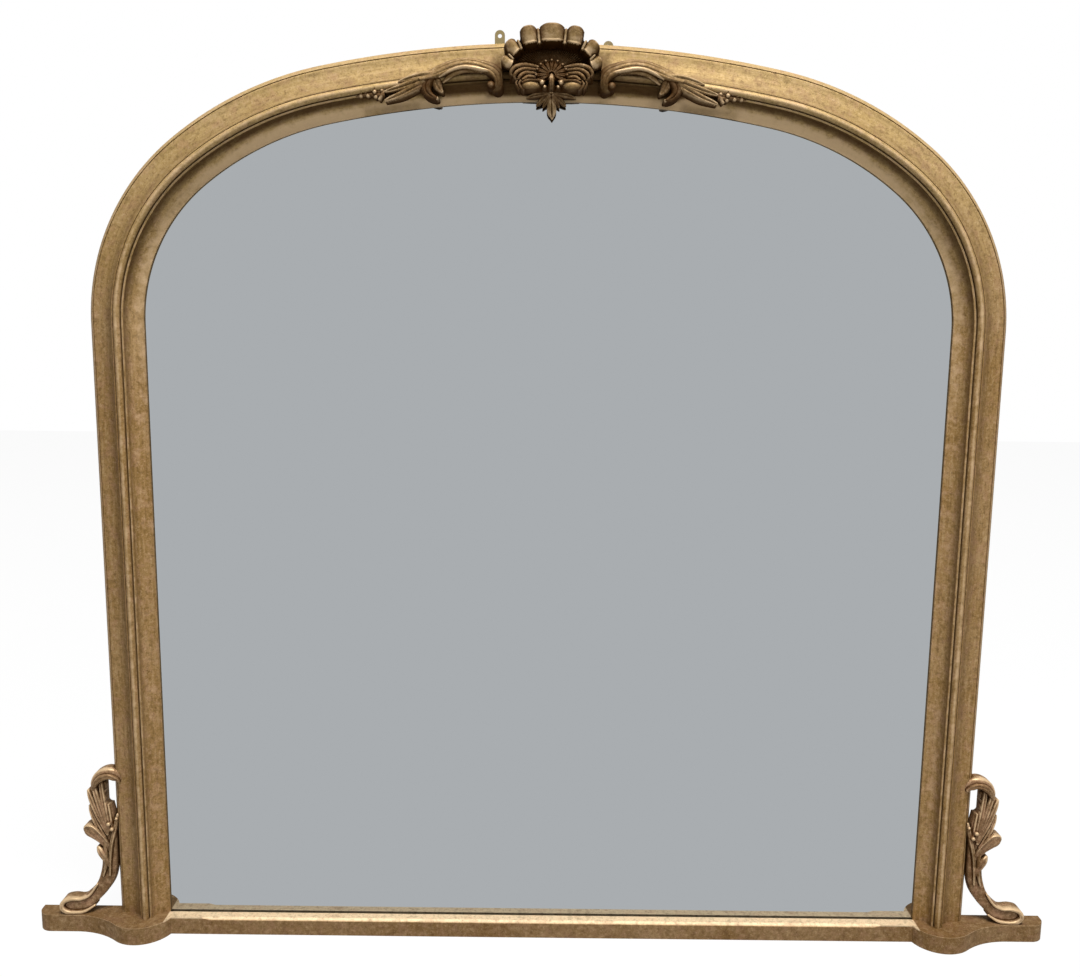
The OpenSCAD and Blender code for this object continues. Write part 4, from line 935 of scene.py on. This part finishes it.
def carve_bracket(r):
    """Left bracket: S-stem with a volute foot, side curls, fanned leaf and a hooked hood."""
    half_w, base_top = sizes().half_w / MM, sizes().base_top / MM
    r.origin = (-half_w, base_top)
    # stem and volute body
    r.stroke([[-17, 186, 8, 15], [-20, 176, 12.6, 17], [-18, 162, 14, 18], [-14, 146, 13.4, 18.4],
              [-11, 130, 12.4, 18.4], [-9.6, 110, 11.6, 18.4], [-9.4, 90, 10.4, 17.6],
              [-10, 70, 10.2, 17.6], [-14.4, 51, 10.2, 17], [-22, 36.4, 9.2, 17], [-32, 25, 8.8, 18],
              [-45, 13.4, 9.6, 20], [-58, 11, 9.8, 21.4], [-68, 10.4, 8.6, 21.4]], crown=4, dish=1.4,
             pale=0.15)
    # rim of the foot, running up into the stem
    r.stroke([[-33, 10, 1.4, 19], [-45, 3.4, 2.2, 23], [-58, 1.8, 2.6, 25], [-70, 3.0, 3.0, 25.6],
              [-76.8, 9.4, 3.2, 25.4], [-74, 17.4, 2.8, 24.4], [-63, 20.8, 2.2, 23], [-51, 20.4, 1.8, 21.6],
              [-41.4, 24, 1.6, 20.4], [-34.4, 31, 1.4, 19.6], [-28, 41, 1.1, 18.6]], crown=2.4, tone=-0.3,
             pale=0.2)
    # leaf: fanned veins, with painted highlights
    for rows in ([[-13, 112, 2.4, 20], [-23, 132, 3.6, 21], [-30, 149, 3, 19.4], [-33, 158, 1, 17]],
                 [[-9, 118, 2.2, 20.6], [-21, 146, 3.8, 21.4], [-30.4, 170, 3.4, 19.6],
                  [-34, 180, 1.4, 17]],
                 [[-8, 122, 2.2, 20.6], [-16.4, 154, 4, 21.6], [-24, 182, 3.4, 20], [-26, 192, 1.6, 17]],
                 [[-6, 124, 2.2, 20.4], [-11, 156, 3.6, 21], [-15, 184, 3, 19], [-16, 194, 1.6, 17]],
                 [[-3, 124, 2.0, 20], [-6, 148, 3, 20], [-9, 168, 2.4, 18.6], [-10, 180, 1, 17]]):
        r.stroke(rows, crown=2.6, crease=1.5, edge=0.8, tone=-0.12, pale=0.25)
    # hood in two folds, second curl, third curl, long ridge of the stem; the hood and the curls carry
    # painted highlights
    r.stroke([[-27, 184, 3, 17], [-24, 192, 5.6, 19], [-17, 200.4, 7.6, 20], [-6, 205.4, 8, 21],
              [5, 203.6, 7.6, 20], [11, 199, 5.2, 18]], crown=5.5, tone=-0.25, pale=0.3)
    r.stroke([[-26, 183, 2, 20], [-20.6, 193.4, 3.8, 23.4], [-12.6, 200.6, 4.6, 25], [-3, 203.4, 4.2, 25],
              [5, 200.6, 4.0, 24], [10.4, 196, 2.6, 21]], crown=4, crease=0.8, tone=0.1, pale=0.1)
    r.stroke([[-9, 96, 4.4, 19.6], [-17, 109, 6.6, 22], [-26, 119.4, 8.6, 24.4], [-31.4, 123, 9.2, 24],
              [-35.4, 124.6, 7, 22]], crown=5, dish=1.4, lip=-1.2, reeds=3, cut=0.9, fade=0.6, tone=-0.1,
             pale=0.3)
    r.stroke([[-9, 70, 3, 18.6], [-14.6, 82, 5.2, 21], [-19.4, 91.4, 5.2, 22], [-22.6, 97, 2.8, 20]],
             crown=3.4, reeds=2, cut=1.0, tone=-0.15, pale=0.2)
    r.stroke([[-15, 112, 1.6, 20], [-12.6, 92, 2.4, 20.6], [-13.4, 72, 2.2, 20], [-18, 54, 1.0, 18.4]],
             crown=2)
    r.stroke([[-9, 56, 1.6, 18.6], [-7.4, 80, 2.0, 20], [-4, 104, 2.4, 21], [2, 128, 2.6, 20],
              [6, 146, 1.8, 19]], crown=2)
    for pearl in ((-5.6, 133.6, 3.0, 24.6), (-1.2, 126.2, 2.8, 24.4), (4.5, 140.4, 2.2, 21.4)):
        r.pearl(*pearl)
    x, z = r.x + half_w, r.z - base_top
    # open window between the leaf and the post, and the flat foot
    window = 5 - np.hypot(np.maximum(np.abs(x) - 5, 0), np.maximum(np.abs(z - 179) - 13.6, 0))
    r.trim(-window, z - 0.3)


# ---------- operators, one for each piece or group of like pieces ----------

CROWN_FALL = 2864                    # the crown falls by x * x / this, in mm, at x from the middle
RIGHT_STRIP = 3000                   # start of the right side's strip, so that its streaks differ
# painted shade and grime on the moulding round the crest, where the carving shades it
SHADE_BESIDE_CREST = (               # from, to, bottom and top from the shell's middle, and strength of the painted shade and grime
    (-20, 80, -18, 12, 0.9), (-20, 74, 8, 36, 0.4), (74, 134, -18, 2, 0.6),
    (134, 162, -22, -6, 0.6), (162, 236, -38, -24, 0.4))
POST_STEPS = 8


def dress_moulding(piece, insets, alongs, metal):
    """Masks and a strip map from the section, gilding in front and raw wood behind."""
    section = np.array(moulding_section())
    known = section[:, :2]
    co = points_of(piece.data)
    place = np.stack([insets(co), -co[:, 1]], 1)
    nearest = np.array([np.argmin(((known - p) ** 2).sum(1)) for p in place])
    inset, _, hollow, rubbed_and_highlight = section[nearest].T
    side, rise = np.abs(co[:, 0]), co[:, 2] - shell_middle()
    shade = np.zeros(len(co))
    for x0, x1, z0, z1, dirt_and_shade in SHADE_BESIDE_CREST:
        tilt = rise + side ** 2 / CROWN_FALL - (x0 > 0) * x0 ** 2 / CROWN_FALL
        near = np.minimum(np.minimum(side - x0, x1 - side) / 8, np.minimum(tilt - z0, z1 - tilt) / 7)
        shade = np.maximum(shade, dirt_and_shade * np.clip(near + 0.5, 0, 1))
    # Painted light and shade: the slope beside the plate is painted lighter at the foot and darker up the
    # arch, darker at the foot of the right post than of the left, and its sight edge gets painted
    # highlights, weaker at the foot and stronger up the arch.
    above = co[:, 2] - sizes().spring / MM
    painted_slope_shade = np.interp(above, (-190, 0, 160, 260), (-0.3, -0.02, 0.25, 0.4)) \
        + np.interp(above, (-190, 0), (0.25, 0)) * (co[:, 0] > 0)
    bright = np.interp(above, (-190, 0, 160, 280), (0.55, 0.78, 1.0, 1.6))
    slope = np.clip((inset - 51) / 2, 0, 1) * np.clip((60 - inset) / 4, 0, 1)
    sight = np.clip((inset - 57) / 6, 0, 1)
    # painted shade beside the crest and on the slope joins the hollows' grime and shade; painted highlights
    # weaken in the shade beside the crest
    mask(piece, "hollow", hollow + shade + painted_slope_shade * slope)
    mask(piece, "rubbed_and_highlight", rubbed_and_highlight * (1 + (bright - 1) * sight) * (1 - 0.8 * shade))
    mask(piece, "pale", np.zeros(len(co)))
    girth = np.concatenate([[0], np.cumsum(np.hypot(*np.diff(known, axis=0).T))])
    strip = np.stack([alongs(co) + RIGHT_STRIP * (co[:, 0] > 0), girth[nearest]], 1) * MM
    corners = np.empty(len(piece.data.loops), np.int64)
    piece.data.loops.foreach_get("vertex_index", corners)
    layer = piece.data.uv_layers.active or piece.data.uv_layers.new(name="strip")
    layer.data.foreach_set("uv", strip[corners].astype(np.float32).ravel())

    def behind(where):
        inset = insets(np.array([where]))[0]
        return -where.y < 0.2 or (inset > LAND - 0.5 and -where.y < LIP_BACK + 0.05)
    dress(piece, metal, "raw_wood", behind=behind)


class MIRROR_OT_posts(bpy.types.Operator):
    """Build the two straight posts"""
    bl_idname = "mirror.posts"
    bl_label = "Posts"

    def execute(self, context):
        s = sizes()
        half_w, base_top = s.half_w / MM, s.base_top / MM

        def up():
            for _ in range(POST_STEPS):
                extrude((0, 0, (s.spring - s.base_top) / POST_STEPS))
        right = swept("post_gilt_right", [(half_w - p[0], -p[1], base_top) for p in moulding_section()], up)
        left = mirrored(right, "post_gilt_left")
        for piece, node in ((right, "post_right"), (left, "post_left")):
            dress_moulding(piece, lambda co: half_w - np.abs(co[:, 0]), lambda co: co[:, 2], "gilt_post")
            declare(piece, "gilt_post", node)
        return {"FINISHED"}


class MIRROR_OT_arch(bpy.types.Operator):
    """Build the shoulders, haunches and crown of the arch"""
    bl_idname = "mirror.arch"
    bl_label = "Arch"

    def execute(self, context):
        for part, ((cx, cz), r, a0, a1) in arch().items():
            points = [(cx + (r - p[0]) * math.cos(a0), -p[1], cz + (r - p[0]) * math.sin(a0))
                      for p in moulding_section()]
            steps = 60 if part == "crown" else max(14, round(math.degrees(a1 - a0) / 1.3))

            def turn():
                bpy.ops.mesh.spin(steps=steps, angle=a1 - a0, center=(cx * MM, 0, cz * MM), axis=(0, 1, 0))
            right = swept(f"{part}_gilt_right", points, turn)
            left = mirrored(right, f"{part}_gilt_left")
            for side, piece in (("right", right), ("left", left)):
                if part == "crown":
                    cut_with(piece, plate_pocket(side))
                    settle(piece, 32)
                dress_moulding(piece, lambda co: r - np.hypot(np.abs(co[:, 0]) - cx, co[:, 2] - cz),
                               lambda co: r * np.arctan2(co[:, 2] - cz, np.abs(co[:, 0]) - cx), "gilt_arch")
                declare(piece, "gilt_arch", f"arch_{part}_{side}")
        return {"FINISHED"}


def plate_pocket(side):
    """The pocket let into the crown's back for a hanger plate, 0.1 mm wider all round."""
    low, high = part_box(f"hanger_plate_{side}")
    middle, size = (low + high) / 2, high - low
    return block((middle.x, 0, middle.z), (size.x + 0.2 * MM, 4.2 * MM, size.z + 0.2 * MM))


LOBE_IN, LOBE_R, SWEEP_R = 35, 45, 100        # lobe's middle from the side, its radius, and the sweep's
END_D, MID_D, LOBE_D, CORNER = 26, 29, 58, 18   # depths of ends, middle and lobes, radius of the corners
CHAMFER_IN, CHAMFER_POINT = 130, 9            # chamfer's stop from the side, and the length of its point
EASE = 1.2                                    # width of the eased edges


class MIRROR_OT_base(bpy.types.Operator):
    """Build the base board with its lobes, eased edges, stopped chamfer and groove"""
    bl_idname = "mirror.base"
    bl_label = "Base board"

    def execute(self, context):
        top, sight = sizes().base_top, sizes().half_w - sizes().moulding_w
        piece = outline("base_gilt", [(x, y, 0) for x, y in base_plan()])
        with editing(piece):
            bpy.ops.mesh.edge_face_add()
            extrude((0, 0, top))
        settle(piece, 40)
        cut_with(piece, glass_groove())
        cut_with(piece, stopped_chamfer())
        settle(piece, 40)
        # edges where the painted cream highlight ends
        for x in (-sight - 1.5 * MM, -sight, sight, sight + 1.5 * MM):
            divide(piece, (x, 0, 0), (1, 0, 0))
        for drop in (1.3, 2.0, 3.9, 4.6):
            divide(piece, (0, 0, top - drop * MM), (0, 0, 1))
        ease = piece.modifiers.new("ease", "BEVEL")
        ease.width, ease.segments, ease.limit_method = EASE * MM, 3, "ANGLE"
        ease.angle_limit = math.radians(50)
        bpy.ops.object.modifier_apply(modifier=ease.name)
        settle(piece, 40)
        co = points_of(piece.data)
        # gilding by the drop below the top: in the middle the flat, its eased edge and the chamfer carry a
        # painted cream highlight, the eased front edge a painted highlight, and the rest is darker, the
        # flat beside the middle most
        below = top / MM - co[:, 2]
        edge = (below > 0.04) & (below < 1.15)
        middle = np.abs(co[:, 0]) < sight / MM + 1
        cream_highlight = middle & ((below < 1.3) | ((co[:, 1] > 0.1 - MID_D) & (below < 4.0)))
        mask(piece, "hollow", np.where(cream_highlight | edge, 0.0, np.where(below < 0.04, 0.55, 0.3)))
        mask(piece, "rubbed_and_highlight", np.where(edge & (co[:, 1] < -12), 1.0, 0.0))
        mask(piece, "pale", np.where(cream_highlight, 1.0, 0.0))
        dress(piece, "gilt_base", "raw_wood", behind=lambda where: where.y > -0.5 or where.z < 0.5)
        declare(piece, "gilt_base", "base_board")
        return {"FINISHED"}


def base_plan():
    """Outline of the base board seen from above, in millimetres."""
    half, lobe_x = BASE[1].x / MM, sizes().half_w / MM - LOBE_IN
    lobe_c, sweep_c = LOBE_D - LOBE_R, END_D + SWEEP_R
    dx = math.sqrt((LOBE_R + SWEEP_R) ** 2 - (sweep_c - lobe_c) ** 2)
    meet = math.atan2(sweep_c - lobe_c, dx)
    stop = math.asin((MID_D - lobe_c) / LOBE_R)
    right = [(half, 0)]
    for x, y, r, angles in (
            (half - CORNER, CORNER - END_D, CORNER, np.radians(np.linspace(0, 90, 14))),
            (lobe_x + dx, -sweep_c, SWEEP_R, -math.pi / 2 - np.linspace(0, math.pi / 2 - meet, 20)),
            (lobe_x, -lobe_c, LOBE_R, np.linspace(meet, math.pi - stop, 42)[1:])):
        right += [(x + r * math.cos(a), y - r * math.sin(a)) for a in angles]
    return right + [(-x, y) for x, y in reversed(right)]


def glass_groove():
    """The groove in which the mirror plate stands."""
    s = sizes()
    return block((0, -9.9 * MM, s.base_top - 2 * MM), (2 * (s.half_w - 64.7 * MM), 7.2 * MM, 8 * MM))


def stopped_chamfer():
    """A bar laid on the front edge, drawn out to points where the chamfer stops."""
    half = sizes().half_w - CHAMFER_IN * MM
    cutter = block((0, -MID_D * MM, sizes().base_top), (2 * half, 5 * MM, 5 * MM), math.radians(45))
    for side in (-1, 1):
        with editing(cutter):
            bpy.ops.mesh.select_mode(type="FACE")
            bpy.ops.mesh.select_all(action="DESELECT")
        for face in cutter.data.polygons:
            face.select = face.normal.x * side > 0.9
        bpy.ops.object.mode_set(mode="EDIT")
        extrude((side * CHAMFER_POINT * MM, 0, 0))
        tip = (side * (half + CHAMFER_POINT * MM), cutter.location.y, cutter.location.z)
        bpy.ops.transform.resize(value=(1, 0.05, 0.05), center_override=tip)
    return take(cutter)


def crest_piece(name, node, box, carve, bed, slot="gilt_crest", seat=crown_seat, thick=99.0):
    """Carve a piece for its node, and mirror one on the left for the node on the right."""
    piece = carved(name, box, carve, bed, seat, thick)
    dress(piece, slot)
    declare(piece, slot, node)
    if node.endswith("_left"):
        declare(mirrored(piece, name.replace("_left", "_right")), slot, node.replace("_left", "_right"))


class MIRROR_OT_crest(bpy.types.Operator):
    """Carve the shell, palmette, cups and pendant of the crest"""
    bl_idname = "mirror.crest"
    bl_label = "Crest"

    def execute(self, context):
        mid = shell_middle()
        crest_piece("shell_gilt", "crest_shell", (-68, 68, mid - 8, mid + 66), carve_shell, 14)
        crest_piece("palmette_gilt", "crest_palmette", (-24, 24, mid - 8, mid + 26), carve_palmette, 42.3)
        crest_piece("cup_gilt_left", "crest_cup_left", (-46, 1, mid - 20, mid - 5), carve_cup, 14)
        crest_piece("pendant_gilt", "crest_pendant", (-34, 34, mid - 50, mid - 16), carve_pendant, 17,
                    thick=6.0)
        return {"FINISHED"}


class MIRROR_OT_scrolls(bpy.types.Operator):
    """Carve the scrolls and husks on the crown"""
    bl_idname = "mirror.scrolls"
    bl_label = "Scrolls"

    def execute(self, context):
        top = shell_middle() + 48
        crest_piece("scroll_gilt_left", "crest_scroll_left", (-207, -58, top - 84, top - 20),
                    carve_scroll, 14)
        crest_piece("husk_gilt_left", "crest_husk_left", (-246, -203, top - 80, top - 56),
                    carve_husk, 14)
        return {"FINISHED"}


class MIRROR_OT_brackets(bpy.types.Operator):
    """Carve the two scroll brackets"""
    bl_idname = "mirror.brackets"
    bl_label = "Brackets"

    def execute(self, context):
        half_w, base_top = sizes().half_w / MM, sizes().base_top / MM
        crest_piece("bracket_gilt_left", "bracket_left",
                    (-half_w - 84, -half_w + 18, base_top, base_top + 216), carve_bracket, 3,
                    "gilt_bracket", lambda x, z: seat_depth(half_w - np.abs(x)) + SEAT_GAP)
        return {"FINISHED"}


PLAIN_NODES = {
    "mirror_plate": ["mirror_glass"],
    "back_wood": [f"back_board_{i}" for i in range(1, 7)],
    "raw_wood": ["glass_blocks", "arch_dowels"],
    "steel_fasteners": ["back_board_nails", "post_screws", "hanger_screws"],
    "plate_metal": ["hanger_plate_left", "hanger_plate_right"]}


class MIRROR_OT_plate_and_back(bpy.types.Operator):
    """Finish the mirror plate, boards, blocks, nails, screws and hanger plates"""
    bl_idname = "mirror.plate_and_back"
    bl_label = "Plate and back"

    def execute(self, context):
        for slot, nodes in PLAIN_NODES.items():
            for node in nodes:
                dress(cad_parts[node], slot)
        return {"FINISHED"}


CAMERA_AT = (-0.007874, -1.37364, 0.83898)    # solved from the photograph
PITCH, YAW, ROLL = 0.15008, -0.00054, 0.01089
GREY, WHITE, DULL_WHITE = (0.45, 0.45, 0.45, 1), (0.9, 0.9, 0.9, 1), (0.84, 0.84, 0.84, 1)


class MIRROR_OT_stage(bpy.types.Operator):
    """Set the floor, camera, lamps and world"""
    bl_idname = "mirror.stage"
    bl_label = "Stage"

    def execute(self, context):
        stage = context.scene.mirror_stage
        take(None)
        bpy.ops.mesh.primitive_plane_add(size=14, location=(0, 0, -0.0002))
        floor = bpy.context.object
        floor.name = floor.data.name = "stage_floor"
        floor.data.materials.append(floor_material())
        forward = Vector((math.sin(YAW) * math.cos(PITCH), math.cos(YAW) * math.cos(PITCH),
                          -math.sin(PITCH)))
        right = Vector((math.cos(YAW), -math.sin(YAW), 0))
        up = right.cross(forward)
        across = right * math.cos(ROLL) + up * math.sin(ROLL)
        upright = up * math.cos(ROLL) - right * math.sin(ROLL)
        data = bpy.data.cameras.new("camera")
        data.lens, data.sensor_width, data.sensor_fit, data.clip_end = stage.lens, 36, "HORIZONTAL", 50
        camera = bpy.data.objects.new("camera", data)
        bpy.context.collection.objects.link(camera)
        turn = Matrix((across, upright, -forward)).transposed().to_4x4()
        camera.matrix_world = Matrix.Translation(CAMERA_AT) @ turn
        context.scene.camera = camera
        lamp("lamp_above", (0.4, -1.6, 5.2), stage.key)
        lamp("lamp_front", (2.1, -4.0, 3.4), stage.fill)
        world_light(stage.ambient)
        context.scene.view_settings.view_transform = "Standard"
        return {"FINISHED"}


def lamp(name, where, power):
    """A broad lamp turned to the middle of the mirror."""
    data = bpy.data.lights.new(name, "AREA")
    data.shape, data.size, data.size_y, data.energy = "RECTANGLE", 2.4, 1.6, power
    piece = bpy.data.objects.new(name, data)
    bpy.context.collection.objects.link(piece)
    piece.location = where
    piece.rotation_euler = (Vector((0.0, 0.0, 0.6)) - Vector(where)).to_track_quat("-Z", "Y").to_euler()


def seen(tree):
    """One where a ray comes from the camera, and one where it comes from a mirror or glass."""
    path = tree.nodes.new("ShaderNodeLightPath")
    camera, glossy, through = (Value(tree, path.outputs[f"Is {kind} Ray"])
                               for kind in ("Camera", "Glossy", "Transmission"))
    return camera, glossy.larger(through)


def floor_material():
    """Pale floor that keeps the object's shadow, shows white in the mirror and throws little light back."""
    surface = bpy.data.materials.new("stage_floor")
    surface.use_nodes = True
    tree = surface.node_tree
    tree.nodes.clear()
    out, matt, glow, mixed = (tree.nodes.new("ShaderNode" + kind) for kind in
                              ("OutputMaterial", "BsdfDiffuse", "Emission", "MixShader"))
    place = Value(tree, tree.nodes.new("ShaderNodeTexCoord").outputs["Object"])
    camera, mirrors = seen(tree)
    pale = blend(place.noise(3.0) * 0.04, WHITE, DULL_WHITE)
    feed(matt.inputs["Color"], blend(camera.larger(mirrors), GREY, pale))
    feed(mixed.inputs[0], (camera * 0.95).larger(mirrors))
    feed(mixed.inputs[1], Value(tree, matt.outputs[0]))
    feed(mixed.inputs[2], Value(tree, glow.outputs[0]))
    feed(out.inputs["Surface"], Value(tree, mixed.outputs[0]))
    return surface


def world_light(ambient):
    """White where it is seen, and dim where it lights the object."""
    world = bpy.data.worlds.new("studio")
    bpy.context.scene.world = world
    world.use_nodes = True
    light = world.node_tree.nodes["Background"]
    camera, mirrors = seen(world.node_tree)
    feed(light.inputs["Strength"], camera.larger(mirrors) * (1.0 - ambient) + ambient)
    feed(light.inputs["Color"], (1, 1, 1, 1))


STEPS = (MIRROR_OT_base, MIRROR_OT_posts, MIRROR_OT_arch, MIRROR_OT_crest, MIRROR_OT_scrolls,
         MIRROR_OT_brackets, MIRROR_OT_plate_and_back, MIRROR_OT_stage)
SETTINGS = {"mirror_sizes": MirrorSizes, "mirror_finish": MirrorFinish, "mirror_stage": MirrorStage}


class MIRROR_PT_panel(bpy.types.Panel):
    """Sizes, finish and building steps of the mirror"""
    bl_idname = "MIRROR_PT_panel"
    bl_label = "Overmantel mirror"
    bl_space_type = "VIEW_3D"
    bl_region_type = "UI"
    bl_category = "Mirror"

    def draw(self, context):
        for name, kind in SETTINGS.items():
            box = self.layout.box()
            for label in kind.__annotations__:
                box.prop(getattr(context.scene, name), label)
        for step in STEPS:
            self.layout.operator(step.bl_idname)


CLASSES = (*SETTINGS.values(), *STEPS, MIRROR_PT_panel)


def register():
    for cls in CLASSES:
        bpy.utils.register_class(cls)
    for name, kind in SETTINGS.items():
        setattr(bpy.types.Scene, name, bpy.props.PointerProperty(type=kind))


def unregister():
    for name in SETTINGS:
        delattr(bpy.types.Scene, name)
    for cls in reversed(CLASSES):
        bpy.utils.unregister_class(cls)


def main():
    register()
    bpy.ops.mirror.base()
    bpy.ops.mirror.posts()
    bpy.ops.mirror.arch()
    bpy.ops.mirror.crest()
    bpy.ops.mirror.scrolls()
    bpy.ops.mirror.brackets()
    bpy.ops.mirror.plate_and_back()
    bpy.ops.mirror.stage()


if __name__ == "__main__":
    main()
